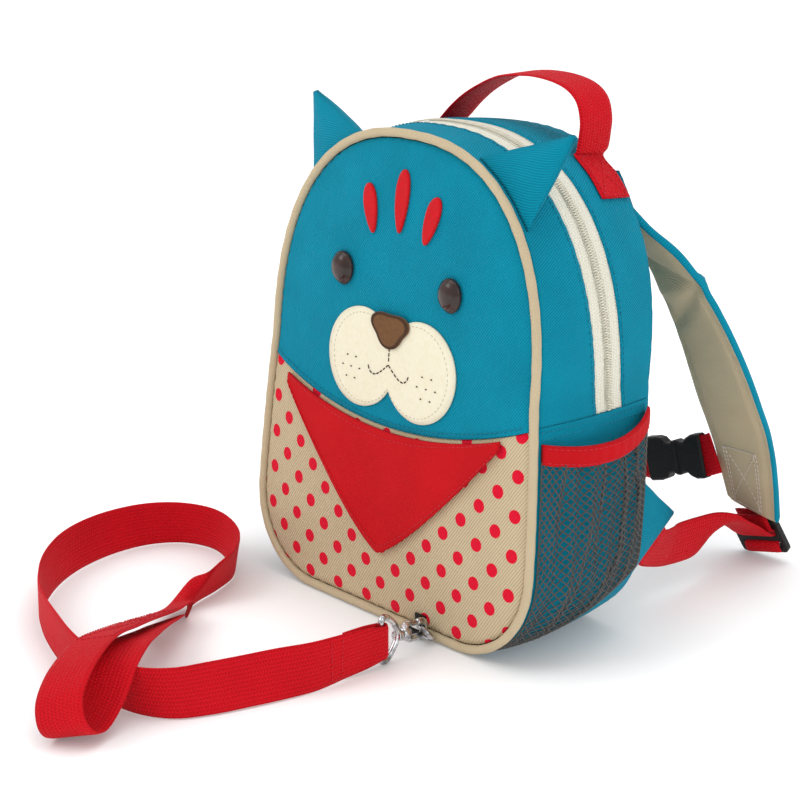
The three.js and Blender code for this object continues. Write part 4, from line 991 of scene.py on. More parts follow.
for side, label in ((1, "right"), (-1, "left")):
    rings = [(0.9, 0.0), (1.0, 0.1), (1.02, 0.24), (0.98, 0.36), (0.93, 0.42), (0.9, 0.46), (0.8, 0.68),
             (0.62, 0.85), (0.4, 0.94), (0.2, 0.985)]
    points, steps = [], 48
    middle = front_point(EYE_X, EYE_Z, 0)
    for size, rise in rings:
        for k in range(steps):
            angle = k / steps * math.tau
            x = side * EYE_X + BUTTON_HALF_WIDE * size * math.cos(angle)
            z = EYE_Z + BUTTON_HALF_HIGH * size * math.sin(angle)
            seat_y = front_point(x, z, SEAT).y
            points.append(Vector((x, mix(seat_y, middle.y - 0.3, min(1, rise * 3)) - BUTTON_PROUD * rise, z)))
    points.append(Vector((side * EYE_X, middle.y - 0.3 - BUTTON_PROUD, EYE_Z)))
    faces = [tuple(range(steps - 1, -1, -1))]
    for j in range(len(rings) - 1):
        for k in range(steps):
            n = (k + 1) % steps
            faces.append((j * steps + k, j * steps + n, (j + 1) * steps + n, (j + 1) * steps + k))
    faces += [((len(rings) - 1) * steps + k, (len(rings) - 1) * steps + (k + 1) % steps, len(points) - 1)
              for k in range(steps)]
    button = mesh_piece("eye_button_dome_" + label, points, faces)
    button.data.materials.append(button_gloss)
    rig.ride(button, "pack")
    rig.replaces(button, "eye_button_" + label)
    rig.slot(button, "brown_button")


# Neckerchief: a point of thin red cloth over the dotted front, hemmed on its two free edges. Its
# top edge is stitched down just under the collar seam.
red_cloth = twill_finish("red_cloth", RED, pitch_mm=0.9, contrast=0.45, depth_mm=0.1)
KERCHIEF_HALF, KERCHIEF_TIP = 86, 40


def kerchief_place(u, v):
    x = mix(-KERCHIEF_HALF, KERCHIEF_HALF, u)
    top = collar(x) - 2
    share = abs(x) / KERCHIEF_HALF
    hem = min(mix(KERCHIEF_TIP, collar(KERCHIEF_HALF) - 7, share ** 1.25), top - 3)
    return x, mix(top, hem, v)


def kerchief_surface(u, v, proud):
    x, z = kerchief_place(u, v)
    loose = (1 - abs(x) / KERCHIEF_HALF) ** 0.5
    fold = 0.9 * math.sin(x / 11 + 0.6 * math.sin(z / 17)) * math.sin(math.pi * min(1, v * 1.1)) * loose
    hem = 0.35 if v > 0.93 else 0
    return front_point(x, z, SEAT + CLOTH + 0.9 + proud + fold * 0.8 + hem)


kerchief = shell("kerchief", 120, 40, kerchief_surface, CLOTH, kerchief_place)
kerchief.data.materials.append(red_cloth)
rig.replaces(kerchief, "neckerchief")
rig.slot(kerchief, "red_cloth")
hem_line = [kerchief_surface(k / 80, 0.945, 0.1) for k in range(1, 80)]
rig.slot(threads("kerchief_hem_stitches", stitch_path(hem_line, [Vector((0, -1, 0.1))] * len(hem_line)),
                red_thread), "red_cloth")
top_line = [kerchief_surface(k / 80, 0.06, 0.05) for k in range(2, 79)]
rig.slot(threads("kerchief_top_stitches", stitch_path(top_line, [Vector((0, -1, 0.1))] * len(top_line)),
                red_thread), "red_cloth")


# Piping: beige bias cloth drawn round a soft cord. It is caught in the seam between the front
# and the sides, all round the face.
beige_cord = twill_finish("beige_piping", (0.6, 0.49, 0.32), pitch_mm=0.8, contrast=0.8, mottle=0.3,
                          depth_mm=0.12)
steps, sides = 420, 14
points, values = [], []
for i in range(steps):
    s = i / steps
    (x, z), (nx, nz) = outline(s), outline_normal(s)
    swell = PIPING * (1 + 0.03 * math.sin(i * 0.9) + 0.03 * ripple(x, 0, z, 7))
    for k in range(sides):
        angle = k / sides * math.tau
        out = swell * math.cos(angle)
        points.append((x + nx * out, front_depth(z) + swell * math.sin(angle), z + nz * out))
girth = math.tau * PIPING
for i in range(steps):
    for k in range(sides):
        values += [(i / steps * GIRTH, k / sides * girth), (i / steps * GIRTH, (k + 1) / sides * girth),
                   ((i + 1) / steps * GIRTH, (k + 1) / sides * girth),
                   ((i + 1) / steps * GIRTH, k / sides * girth)]
piping = mesh_piece("piping_cord", points, tube_faces(steps, sides, closed=True))
set_flat_map(piping, values)
piping.data.materials.append(beige_cord)
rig.ride(piping, "pack")
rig.replaces(piping, "front_piping")
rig.slot(piping, "beige_piping")


# Sides: teal cloth round the depth of the bag, swelling a little between its seams. The lower
# piece also makes the floor, and its folded upper end covers the ends of the zip.
def side_surface(s, t, proud=0.0):
    (x, z), (nx, nz) = outline(s), outline_normal(s)
    swell, k = 4 * PUFF * t * (1 - t) + proud, mix(1, BACK_SHARE, t)
    x, z = x * k + nx * swell, max(z * k + nz * swell, -min(proud, 0))
    return Vector((x, mix(front_depth(z), back_depth(z), t), z))


SIDE_SEAM, FRONT_EDGE, ZIP_TOP, ZIP_END = 134, (PIPING + SEAT) / DEPTH, 0.405, 0.61
side_share = share_at(SIDE_SEAM)


def zip_line(s):
    high = (outline(s)[1] - SIDE_SEAM) / (SEAM_HEIGHT - SIDE_SEAM)
    return mix(ZIP_END, ZIP_TOP, min(1, max(0, high)))


def side_strip(name, node, start, end, near, far, thick, proud, finish, slot_name, columns=300, rows=16,
               wrinkle=0.0):
    def place(u, v):
        s = mix(start, end, u)
        return s, mix(near(s), far(s), v)

    def surface(u, v, out):
        s, t = place(u, v)
        at_seam = math.exp(-v * rows / 2.5) + math.exp(-(1 - v) * rows / 2.5)
        slack = (4 * v * (1 - v) * ripple(s * 9, t * 2.2, 0.3, 1, 3)
                 + 0.22 * at_seam * math.sin(s * GIRTH * 0.8 + 3 * math.sin(s * 60)))
        return side_surface(s, t, proud + out + wrinkle * slack * (1 if outline(s)[1] > 14 else 0.2))

    def flat(u, v):
        s, t = place(u, v)
        return s * GIRTH, t * DEPTH

    piece = shell(name, columns, rows, surface, thick, flat)
    piece.data.materials.append(finish)
    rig.replaces(piece, node)
    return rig.slot(piece, slot_name)


COIL_WIDE, TAPE_WIDE, TOOTH_PITCH = 4.2, 8, 1.45
zip_half, coil_half, hair = (COIL_WIDE / 2 + SEAT + TAPE_WIDE) / DEPTH, COIL_WIDE / 2 / DEPTH, SEAT / DEPTH
arch = (side_share + SEAT / GIRTH, 1 - side_share - SEAT / GIRTH)
zip_cloth = webbing_finish("zip_tape", (0.86, 0.84, 0.74))
side_strip("side_cloth_front", "gusset_front", *arch, lambda s: FRONT_EDGE,
           lambda s: zip_line(s) - zip_half - hair, CLOTH, 0, teal_twill, "teal_cloth", wrinkle=0.7)
side_strip("side_cloth_back", "gusset_back", *arch, lambda s: zip_line(s) + zip_half + hair, lambda s: 1,
           CLOTH, 0, teal_twill, "teal_cloth", wrinkle=0.7)
side_strip("zip_tape_near", "zip_tape_front", *arch, lambda s: zip_line(s) - zip_half,
           lambda s: zip_line(s) - coil_half - hair, 1, -0.5, zip_cloth, "zip_tape", rows=4)
side_strip("zip_tape_far", "zip_tape_back", *arch, lambda s: zip_line(s) + coil_half + hair,
           lambda s: zip_line(s) + zip_half, 1, -0.5, zip_cloth, "zip_tape", rows=4)
side_strip("lower_side_cloth", "gusset_lower", -side_share, side_share, lambda s: FRONT_EDGE, lambda s: 1,
           CLOTH, 0, teal_twill, "teal_cloth", columns=400, rows=30, wrinkle=0.9)
side_strip("zip_coil_core", "zip_coil", *arch, lambda s: zip_line(s) - coil_half * 0.9,
           lambda s: zip_line(s) + coil_half * 0.9, 1.4, -0.4, zip_cloth, "zip_tape", rows=2)
coil_gloss = thread_finish("zip_coil", (0.84, 0.80, 0.66))
teeth = []
for k in range(int((arch[1] - arch[0]) * GIRTH / TOOTH_PITCH)):
    s = arch[0] + (k + 0.5) * TOOTH_PITCH / GIRTH
    for side, shift in ((-1, 0), (1, 0.7)):
        s_side = s + shift / GIRTH
        a, b = (side_surface(s_side, zip_line(s) + side * share * coil_half, 0.15) for share in (-0.25, 1.0))
        teeth.append((a, b, side_surface(s, 0.5, 5) - side_surface(s, 0.5, 0)))
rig.slot(threads("zip_coil_teeth", teeth, coil_gloss, gauge=0.56), "zip_tape")
seams = []
for ends, line in ((arch, lambda s: zip_line(s) - zip_half - 2.2 / DEPTH),
                   (arch, lambda s: zip_line(s) + zip_half + 2.2 / DEPTH)):
    path = [side_surface(mix(*ends, k / 240), line(mix(*ends, k / 240)), 0.12) for k in range(241)]
    outs = [side_surface(mix(*ends, k / 240), 0.5, 5) - side_surface(mix(*ends, k / 240), 0.5, 0)
            for k in range(241)]
    seams += stitch_path(path, outs, 2.2, 0.9)
for side in (1, -1):
    for back_off in (2.5, 6.5):
        share = side * (side_share - back_off / GIRTH)
        path = [side_surface(share, mix(FRONT_EDGE + 0.02, 0.98, k / 30), 0.15) for k in range(31)]
        seams += stitch_path(path, [Vector((side, 0, 0.1))] * 31, 2.2, 0.9)
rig.slot(threads("side_seam_stitches", seams, teal_thread), "teal_cloth")

steel, steel_tree, steel_shader = new_finish("bright_steel", rough=0.16, metal=1.0)
steel_place = steel_tree.nodes.new("ShaderNodeTexCoord")
# Noise patches of dark and bright grey in the base colour are painted reflection of dark and bright surroundings in
# the plating. The same noise also varies the roughness and bump.
wear_and_painted_reflection = steel_tree.nodes.new("ShaderNodeTexNoise")
wear_and_painted_reflection.inputs["Scale"].default_value, wear_and_painted_reflection.inputs["Detail"].default_value = 260, 5
steel_tree.links.new(steel_place.outputs["Object"], wear_and_painted_reflection.inputs["Vector"])
steel_tree.links.new(ramp_node(steel_tree, wear_and_painted_reflection.outputs["Fac"],
                               [(0.36, (0.2, 0.2, 0.21)), (0.6, (0.72, 0.72, 0.73))]),
                     steel_shader.inputs["Base Color"])
steel_tree.links.new(math_node(steel_tree, "MULTIPLY_ADD", wear_and_painted_reflection.outputs["Fac"], 0.16, 0.06),
                     steel_shader.inputs["Roughness"])
bumped(steel_tree, steel_shader, wear_and_painted_reflection.outputs["Fac"], 0.02)


def dress(node, finish, bevel):
    """Gives a hard CAD piece its finish, with softened edges."""
    piece = cad[node]
    piece.data.materials.clear()
    piece.data.materials.append(finish)
    soften = piece.modifiers.new("soft_edges", "BEVEL")
    soften.width, soften.segments = bevel * MM, 3
    soften.limit_method, soften.angle_limit = "ANGLE", math.radians(30)
    soften.harden_normals = True
    return piece


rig.slot(dress("zip_slider", steel, bevel=0.4), "bright_steel")


# Back: a foam pad between two teal cloths, sewn in round its edge. One row of stitches near the
# edge quilts it.
BACK_PAD, BACK_RIM, BACK_REACH, BACK_RIM_SHARE, BACK_QUILT = 3.2, 1.6, 14, BACK_SHARE - 0.006, 0.93


def back_point(x, z, proud):
    swell = (BACK_PAD - BACK_RIM) * (1 - math.exp(-edge_distance(x / BACK_RIM_SHARE, z / BACK_RIM_SHARE)
                                                  / BACK_REACH))
    return Vector((x, back_depth(z) + SEAT + BACK_RIM + swell + proud, z))


def back_surface(u, v, proud):
    ring = outline(u)
    x, z = ring[0] * BACK_RIM_SHARE * v, mix(SEAM_HEIGHT / 2, ring[1] * BACK_RIM_SHARE, v)
    if proud:
        return Vector((x, back_depth(z) + SEAT, z))
    groove = math.exp(-((v - BACK_QUILT) * 110 / 1.8) ** 2)
    return back_point(x, z, 0.5 * ripple(x, 9, z, 30) * (1 - v ** 6) - 0.7 * groove
                      - 0.5 * max(0, v - 0.98) / 0.02)


back_pad = shell("back_pad", 200, 40, back_surface, 1,
                 lambda u, v: (outline(u)[0] * v, mix(SEAM_HEIGHT / 2, outline(u)[1], v)), wrap=True)
back_pad.data.materials.append(teal_twill)
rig.replaces(back_pad, "back_panel")
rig.slot(back_pad, "teal_cloth")
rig.padded(back_pad, 0.5)
rim_path = [back_surface(k / 300, BACK_QUILT, 0) for k in range(301)]
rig.slot(threads("back_stitches", stitch_path(rim_path, [Vector((0, 1, 0))] * 301), teal_thread), "teal_cloth")


# Ears: three-sided hollow cones of body cloth. Two feet of each stand in the front seam, and the
# third is sewn to the side cloth.
EAR_TIP, EAR_WALL = Vector((101, -3, 281)), 1.6
FEET = ((0.447, 0.05), (0.381, 0.05), (0.418, 0.36))
foot_middle = [sum(f[n] for f in FEET) / 3 for n in (0, 1)]
ear_middle = side_surface(*foot_middle)


def ear_surface(u, v, proud):
    u = u % 1.0
    leg = int(u * 3) % 3
    along = u * 3 - int(u * 3)
    inset = EAR_WALL if proud else 0
    pull = 0.1 * (1 - min(1, 6.4 * along * (1 - along))) + inset / 20
    s, t = (mix(mix(FEET[leg][n], FEET[(leg + 1) % 3][n], along), foot_middle[n], pull) for n in (0, 1))
    base = side_surface(s, t, SEAT)
    tip = EAR_TIP.lerp(ear_middle, EAR_WALL * 4 / (EAR_TIP - ear_middle).length) if inset else EAR_TIP
    blunt = (base - ear_middle).normalized() * (0 if inset else EAR_WALL) + tip
    point = base.lerp(blunt, min(1, v / 0.97))
    if v > 0.999:
        point = tip.copy()
    face = (point - ear_middle.lerp(tip, v)).normalized()
    full = (1.2 * math.sin(math.pi * min(1, v)) * (4 * along * (1 - along))
            + 0.35 * ripple(point.x, point.y, point.z, 11))
    ridge = 0.5 * math.exp(-(min(along, 1 - along) * 30) ** 2) * (1 - v)
    return point + face * (0 if inset else (full * min(1, v * 6) + ridge) * (1 - v ** 8))


for side, label in ((1, "right"), (-1, "left")):
    ear = shell("ear_cone_" + label, 72, 26, lambda u, v, p: Vector((side, 1, 1)) * ear_surface(u, v, p),
                EAR_WALL, lambda u, v: (u * 120 * (1 - 0.6 * v), v * 40), wrap=True)
    ear.data.materials.append(teal_twill)
    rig.replaces(ear, "ear_" + label)
    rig.slot(ear, "teal_cloth")


# Side pockets: knotless diamond net of fine dark cord gathered over the side cloth, its upper edge
# bound in red cloth and the other edges caught in the seams.
POCKET_FLOOR, POCKET_BULGE, BINDING_HIGH, BINDING_THICK, NET_CORD = 0.095, 10, 11, 2.2, 0.42
CELLS_ACROSS, CELLS_UP = 25, 24
POCKET_FRONT, POCKET_BACK, POCKET_GAP = FRONT_EDGE + 0.012, 0.985, SEAT + 0.8


def pocket_top(t):
    return mix(127, 131, t) - 28 * t * (1 - t)


def pocket_surface(s, t, proud):
    rise = min(1, max(0, (s - POCKET_FLOOR) / 0.06))
    openness = math.sin(math.pi * min(1, max(0, (t - POCKET_FRONT) / (POCKET_BACK - POCKET_FRONT))))
    return side_surface(s, t, POCKET_GAP + POCKET_BULGE * rise * max(0, openness) ** 0.8 + proud)


top_shares = [share_at(pocket_top(mix(POCKET_FRONT, POCKET_BACK, k / 60))) for k in range(61)]
low_shares = [share_at(pocket_top(mix(POCKET_FRONT, POCKET_BACK, k / 60)) - BINDING_HIGH) for k in range(61)]


def share_table(table, u):
    i = min(59, int(u * 60))
    return mix(table[i], table[i + 1], u * 60 - i)


def net_point(u, v, proud):
    """u runs from front to back, v from the floor seam to the binding; the net hangs in upright folds."""
    t = mix(POCKET_FRONT, POCKET_BACK, u)
    s = mix(mix(POCKET_FLOOR + 0.006, POCKET_FLOOR + 0.056, u), share_table(low_shares, u) + 0.002, v)
    inside = min(1, 6 * u) * min(1, 6 * (1 - u)) * min(1, 8 * v)
    lift = POCKET_GAP + POCKET_BULGE * min(1, 2.6 * v) * math.sin(math.pi * u) ** 0.8
    wave = u * 27 + 2.6 * math.sin(v * 3.4 + u * 4)
    fold = math.sin(wave) + 0.6 * math.sin(u * 61 - v * 6) + 0.8 * ripple(u * 8, v * 3, 0, 1, 5)
    return side_surface(s, t + 0.016 * inside * math.cos(wave),
                        lift + proud + inside * (1.9 * fold - 1.6) * (0.7 + 0.3 * v))


net_gloss = thread_finish("dark_net", (0.105, 0.1, 0.095))


def tubes(name, paths, radius, finish):
    """Round cords along lists of points."""
    points, faces, sides = [], [], 5
    for path in paths:
        base = len(points)
        for i, p in enumerate(path):
            ahead = (path[min(i + 1, len(path) - 1)] - path[max(i - 1, 0)]).normalized()
            a = ahead.cross(Vector((0.2, 0.9, 0.4))).normalized()
            b = ahead.cross(a)
            points += [p + (a * math.cos(k / sides * math.tau) + b * math.sin(k / sides * math.tau))
                       * radius for k in range(sides)]
        faces += tube_faces(len(path), sides, base)
    piece = mesh_piece(name, points, faces)
    piece.data.materials.append(finish)
    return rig.ride(piece, "pack")


def binding_surface(u, v, proud):
    t = mix(POCKET_FRONT, POCKET_BACK, u)
    s = mix(share_table(low_shares, u), share_table(top_shares, u), v)
    full = (BINDING_THICK * math.sqrt(max(0.0, 1 - abs(2 * v - 1) ** 5))
            + 0.25 * math.sin(u * 70) * (1 - abs(2 * v - 1)) + 0.4 * ripple(u * 90, v * 9, 0, 9))
    return pocket_surface(s, t, full if proud == 0 else 0.0)


for side, label in ((1, "right"), (-1, "left")):
    flip = Vector((side, 1, 1))
    paths = []
    for k in range(-CELLS_UP, CELLS_ACROSS + 1):
        for lean, proud in ((1, 0.35), (-1, 0.75)):
            path = []
            for n in range(0, 5 * CELLS_UP + 1):
                v = n / (5 * CELLS_UP)
                column = k + v * CELLS_UP if lean > 0 else CELLS_ACROSS - (k + v * CELLS_UP)
                if 0 <= column <= CELLS_ACROSS:
                    path.append(flip * net_point(column / CELLS_ACROSS, v, proud))
            if len(path) > 2:
                paths.append(path)
    for u in (0, 1):
        paths.append([flip * net_point(u, k / 60, 0.5) for k in range(61)])
    paths.append([flip * net_point(k / 60, 0, 0.5) for k in range(61)])
    net = tubes("net_cords_" + label, paths, NET_CORD, net_gloss)
    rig.replaces(net, "pocket_net_" + label)
    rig.slot(net, "dark_net")
    binding = shell("pocket_edge_" + label, 80, 12, lambda u, v, p: flip * binding_surface(u, v, p),
                    BINDING_THICK, lambda u, v: (u * 100, v * 11))
    binding.data.materials.append(red_cloth)
    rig.replaces(binding, "pocket_binding_" + label)
    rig.slot(binding, "red_cloth")
    runs = []
    for v in (0.16, 0.84):
        line = [flip * (binding_surface(k / 60, v, 0) + Vector((0.1, 0, 0))) for k in range(1, 60)]
        runs += stitch_path(line, [Vector((side, 0, 0))] * len(line))
    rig.slot(threads("pocket_edge_stitches_" + label, runs, red_thread), "red_cloth")


# Hang loop: webbing that arches over the top. Both ends are folded flat on the side cloth behind
# the zip and box-stitched.
HANDLE_SHARE, WEB = 0.85, 25
HANDLE_HALF, HANDLE_BACK, HANDLE_FOOT, HANDLE_TOP = 53, 57, 258, 297


def sewn_row(s):
    lift = SEAT + WEB_THICK / 2 + SEAT
    across = side_surface(s, HANDLE_SHARE + 0.13, lift) - side_surface(s, HANDLE_SHARE - 0.13, lift)
    return [*side_surface(s, HANDLE_SHARE, lift), *(across.normalized() * WEB)]


loop = [(1.1, 0.06), (1.13, 0.28), (1.14, 0.5), (1.08, 0.75), (0.92, 0.91), (0.66, 0.99), (0.32, 1),
        (-0.06, 0.92), (-0.34, 0.76), (-0.57, 0.58), (-0.76, 0.38), (-0.9, 0.2), (-1.02, 0.06)]
handle_rows = [sewn_row(s) for s in (0.396, 0.414, 0.43)]
handle_rows += [[HANDLE_HALF * span, HANDLE_BACK,
                 mix(HANDLE_FOOT, HANDLE_TOP, rise) + SEAT + WEB_THICK / 2, 0, WEB, 0] for span, rise in loop]
handle_rows += [sewn_row(1 - s) for s in (0.43, 0.414, 0.396)]
handle, _, _ = webbing("hang_loop_web", handle_rows, steps=6)
handle.data.materials.append(red_webbing)
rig.ride(handle, "pack")
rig.replaces(handle, "top_handle")
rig.slot(handle, "red_webbing")
fine_rows = smooth_rows(handle_rows, 6)
runs = []
for first, last in ((0.8, 11.5), (len(fine_rows) - 12.5, len(fine_rows) - 1.8)):
    lift = WEB_THICK / 2 + 0.1
    if on_web(fine_rows, first + 3, 0, lift)[1].z < 0:
        lift = -lift
    runs += box_stitch(fine_rows, first, last, lift)
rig.slot(threads("hang_loop_stitches", runs, red_thread), "red_webbing")


# Shoulder straps: foam between teal cloth outside and beige twill inside. They run from the top of
# the back down towards the floor, and a box and cross of stitches holds the webbing at the lower end.
beige_twill = twill_finish("beige_twill", BEIGE, pitch_mm=1.3, contrast=0.9, mottle=0.3, depth_mm=0.14)
strap_thread = thread_finish("strap_thread", (0.86, 0.76, 0.66))
STRAP_TOP, STRAP_END = Vector((46, back_depth(246), 246)), Vector((86, 178.5, 33))
STRAP_WIDE, STRAP_THICK, STRAP_SEAM_LIFT = 45, 8, 2.6
strap_table = [  # shares of the way down, outwards and backwards, then turn and lift in degrees
    (0.01, -0.03, -0.06, -30, 8), (0.05, 0.12, 0.05, -30, 9), (0.14, 0.42, 0.165, -28, 10),
    (0.22, 0.71, 0.28, -24, 13), (0.305, 0.89, 0.37, -17, 11), (0.39, 1.0, 0.45, -11, 9),
    (0.475, 1.07, 0.53, -6, 6), (0.56, 1.1, 0.61, -2, 5), (0.65, 1.1, 0.7, 1, 3),
    (0.73, 1.08, 0.79, 1, 2), (0.82, 1.06, 0.87, -2, 0), (0.91, 1.02, 0.94, -6, -2), (1, 1, 1, -12, -3)]
strap_rows = []
for drop, out, back, turn, lift in strap_table:
    turn, lift = math.radians(turn), math.radians(lift)
    width = Vector((math.cos(turn), math.sin(turn), math.sin(lift))).normalized() * STRAP_WIDE
    strap_rows.append([mix(STRAP_TOP.x, STRAP_END.x, out), mix(STRAP_TOP.y, STRAP_END.y, back),
                       mix(STRAP_TOP.z, STRAP_END.z, drop), *width])
strap_rows = smooth_rows(strap_rows, 9)
for side, label in ((1, "right"), (-1, "left")):
    points, values, outward, size = [], [], [], 40
    for i, row in enumerate(strap_rows):
        centre, width = Vector(row[:3]), Vector(row[3:6])
        after, before = strap_rows[min(i + 1, len(strap_rows) - 1)], strap_rows[max(i - 1, 0)]
        ahead = Vector(after[:3]) - Vector(before[:3])
        face = ahead.cross(width).normalized()
        outward.append(face)
        end = min(1, 0.35 + (len(strap_rows) - 1 - i) / 3)
        for k in range(size):
            angle = (k + 0.5) / size * math.tau
            cosine, sine = math.cos(angle), math.sin(angle)
            out = math.copysign(abs(cosine) ** 0.7, cosine) * (1 if end == 1 else 0.97 + 0.03 * end)
            up = math.copysign(abs(sine) ** 0.62, sine) * (STRAP_THICK / 2) * end
            pinch = 1 - 0.30 * math.exp(-((abs(out) - 0.84) * 22 / 1.3) ** 2)
            puff = (0.7 * ripple(i * 3, k * 2, side * 5, 14)
                    - 3.2 * math.exp(-((i - 31 - 5 * out) / 1.8) ** 2)
                    - 2.8 * math.exp(-((i - 41 + 7 * out) / 2.2) ** 2)
                    + 2.0 * math.exp(-((i - 36) / 3.0) ** 2))
            p = centre + width * 0.5 * out + face * (up * pinch + puff * (1 - abs(out) ** 6))
            near = back_point(p.x, p.z, SEAT).y if p.z > 150 and abs(p.x) < 100 else -999
            p.y = max(p.y, near + (STRAP_SEAM_LIFT if (face * up).y > 0 else 0))
            points.append(Vector((side, 1, 1)) * p)
    strap = mesh_piece("padded_strap_" + label, points, tube_faces(len(strap_rows), size))
    for poly in strap.data.polygons:
        for v in poly.vertices:
            i, k = divmod(v, size)
            values.append((i * 2.6, STRAP_WIDE / 2 * math.cos((k + 0.5) / size * math.tau)))
        ks = [v % size for v in poly.vertices]
        inner = (sum(ks) / len(ks) >= size / 2) == (outward[0].y > 0)
        poly.material_index = 1 if inner and abs(math.cos((min(ks) + 1) / size * math.tau)) < 0.93 else 0
    set_flat_map(strap, values)
    strap.data.materials.append(teal_twill)
    strap.data.materials.append(beige_twill)
    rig.ride(strap, "pack")
    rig.replaces(strap, "shoulder_strap_" + label)
    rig.slot(strap, "teal_cloth")
    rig.padded(strap, 0.6)
    mirrored_rows = [[side * r[0], r[1], r[2], side * r[3], r[4], r[5]] for r in strap_rows]
    count = len(mirrored_rows)
    for lift, place in ((4.3, "a"), (-4.3, "b")):
        outer = on_web(mirrored_rows, 60, 0, lift)[1].y > 0
        runs = box_stitch(mirrored_rows, count - 22, count - 4, lift, inset=0.55)
        runs += box_stitch(mirrored_rows, count - 22, count - 4, lift, inset=0.47, cross=False)
        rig.slot(threads(f"strap_box_{place}_{label}", runs, teal_thread if outer else strap_thread),
                "teal_cloth")


# Strap ends: black ladder locks, a short loop of webbing holding each, the adjusting webbing that
# runs from a cloth tab at the bag's lower corner, and its tail through the lock.
plastic, plastic_tree, plastic_shader = new_finish("black_plastic", rough=0.38, specular=0.22)
plastic_place = plastic_tree.nodes.new("ShaderNodeTexCoord")
pits = plastic_tree.nodes.new("ShaderNodeTexNoise")
pits.inputs["Scale"].default_value, pits.inputs["Detail"].default_value = 700, 3
plastic_tree.links.new(plastic_place.outputs["Object"], pits.inputs["Vector"])
plastic_tree.links.new(ramp_node(plastic_tree, pits.outputs["Fac"],
                                 [(0.3, (0.006, 0.005, 0.005)), (0.7, (0.013, 0.012, 0.011))]),
                       plastic_shader.inputs["Base Color"])
plastic_tree.links.new(math_node(plastic_tree, "MULTIPLY_ADD", pits.outputs["Fac"], 0.3, 0.3),
                       plastic_shader.inputs["Roughness"])
bumped(plastic_tree, plastic_shader, pits.outputs["Fac"], 0.03)
LOCK, LOCK_ACROSS = Vector((86, 187, 14)), Vector((0.97, 0.05, 0.22)).normalized()
lock_up = Vector((84, 178, 32.5)) - LOCK
lock_up = (lock_up - LOCK_ACROSS * lock_up.dot(LOCK_ACROSS)).normalized()
lock_face = LOCK_ACROSS.cross(lock_up)
OVER_PLATE = 3.4 / 2 + SEAT + WEB_THICK / 2


def lock_row(along, out):
    return [*(LOCK + lock_up * along + lock_face * out), *(LOCK_ACROSS * WEB)]


strap_foot = (STRAP_END - LOCK).length - 2
loop_rows = [lock_row(a, o) for a, o in (
    (strap_foot, OVER_PLATE), (8.15, OVER_PLATE + 0.1), (7, OVER_PLATE - 0.2), (6.65, OVER_PLATE - 1),
    (6.65, 1 - OVER_PLATE), (7, 0.2 - OVER_PLATE), (8.15, -OVER_PLATE - 0.1), (strap_foot, -OVER_PLATE))]
TAB_TIP = Vector((104.8, 81, 61))


def tab_edge(u):
    z = mix(85, 22, u)
    return back_point(outline(share_at(z))[0] * BACK_RIM_SHARE - 2.2, z, SEAT)


def slanted(share, out):
    return TAB_TIP.lerp(tab_edge(1), share) + Vector((-0.25, 0.8, -0.5)).normalized() * out


slant = (TAB_TIP - tab_edge(1)).normalized() * WEB
adjuster_rows = [[*slanted(0.42, 2 * SEAT), *slant], [*slanted(0.44, 7), *slant]]
for x, y, z, a, b, c in ((92, 91, 34, 0.15, 0.35, 0.92), (86.5, 106, 30.5, 0.05, 0.15, 0.99),
                         (84, 125, 28.5, 0.05, 0.1, 0.99), (83.5, 140, 29, 0.3, 0.2, 0.93),
                         (84, 151, 29.5, 0.7, 0.2, 0.68)):
    adjuster_rows.append([x, y, z, *(Vector((a, b, c)).normalized() * WEB)])
adjuster_rows += [lock_row(a, o) for a, o in (
    (26, 17), (17, 11), (9, 6.8), (4.6, 3.9), (3.1, 2), (2.85, -1.6), (2.5, -2.6), (1.6, -OVER_PLATE - 0.1),
    (-1.6, -OVER_PLATE - 0.1), (-2.5, -2.6), (-2.85, -1.6), (-3, 1.2), (-3.8, 2.4), (-5.6, OVER_PLATE + 0.4),
    (-9.2, OVER_PLATE + 0.4))]


def strap_piece(name, node, rows, steps):
    piece, _, _ = webbing(name, rows, steps)
    piece.data.materials.append(red_webbing)
    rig.ride(piece, "pack")
    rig.replaces(piece, node)
    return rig.slot(piece, "red_webbing")


for side, label in ((1, "right"), (-1, "left")):
    flipped = [[[side * r[0], r[1], r[2], side * r[3], r[4], r[5]] for r in rows]
               for rows in (loop_rows, adjuster_rows)]
    strap_piece("lock_loop_web_" + label, "lock_loop_" + label, flipped[0], steps=3)
    strap_piece("adjuster_web_" + label, "adjuster_webbing_" + label, flipped[1], steps=4)
    tab = shell("corner_tab_" + label, 24, 14, lambda u, v, p: Vector((side, 1, 1)) * (
        tab_edge(u).lerp(TAB_TIP, v * 0.97)
        + Vector((1.1 + p + (0.35 * math.sin(9 * v) * (1 - u) * (1 if p == 0 else -1)), 0, 0))),
        2.2, lambda u, v: (u * 60, v * 30))
    tab.data.materials.append(teal_twill)
    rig.replaces(tab, "strap_tab_" + label)
    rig.slot(tab, "teal_cloth")
    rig.slot(dress("ladder_lock_" + label, plastic, bevel=0.7), "black_plastic")


# Chest strap: two lengths of webbing that hang between the shoulder straps, closed with a black
# side-release buckle of moulded plastic.
CHEST_Z, CHEST_SAG, CHEST_Y, CHEST_REACH, BUCKLE_FROM, BUCKLE_TO = 68, 17, 162, 67.4, 17.5, 60.5


def chest_row(x):
    sag = Vector((-2 * CHEST_SAG * x / CHEST_REACH ** 2, 0, 1)).normalized() * WEB
    return [x, CHEST_Y + 0.6 * math.sin(x / 9), CHEST_Z - CHEST_SAG * (1 - (x / CHEST_REACH) ** 2), *sag]


start, end = Vector(chest_row(BUCKLE_FROM)[:3]), Vector(chest_row(BUCKLE_TO)[:3])
start.y = end.y = CHEST_Y
buckle_long = (end - start).length
buckle_along = (end - start).normalized()
buckle_up = Vector((-buckle_along.z, 0, buckle_along.x))


def buckle_row(x):
    return [*(start + buckle_along * x), *(buckle_up * WEB)]


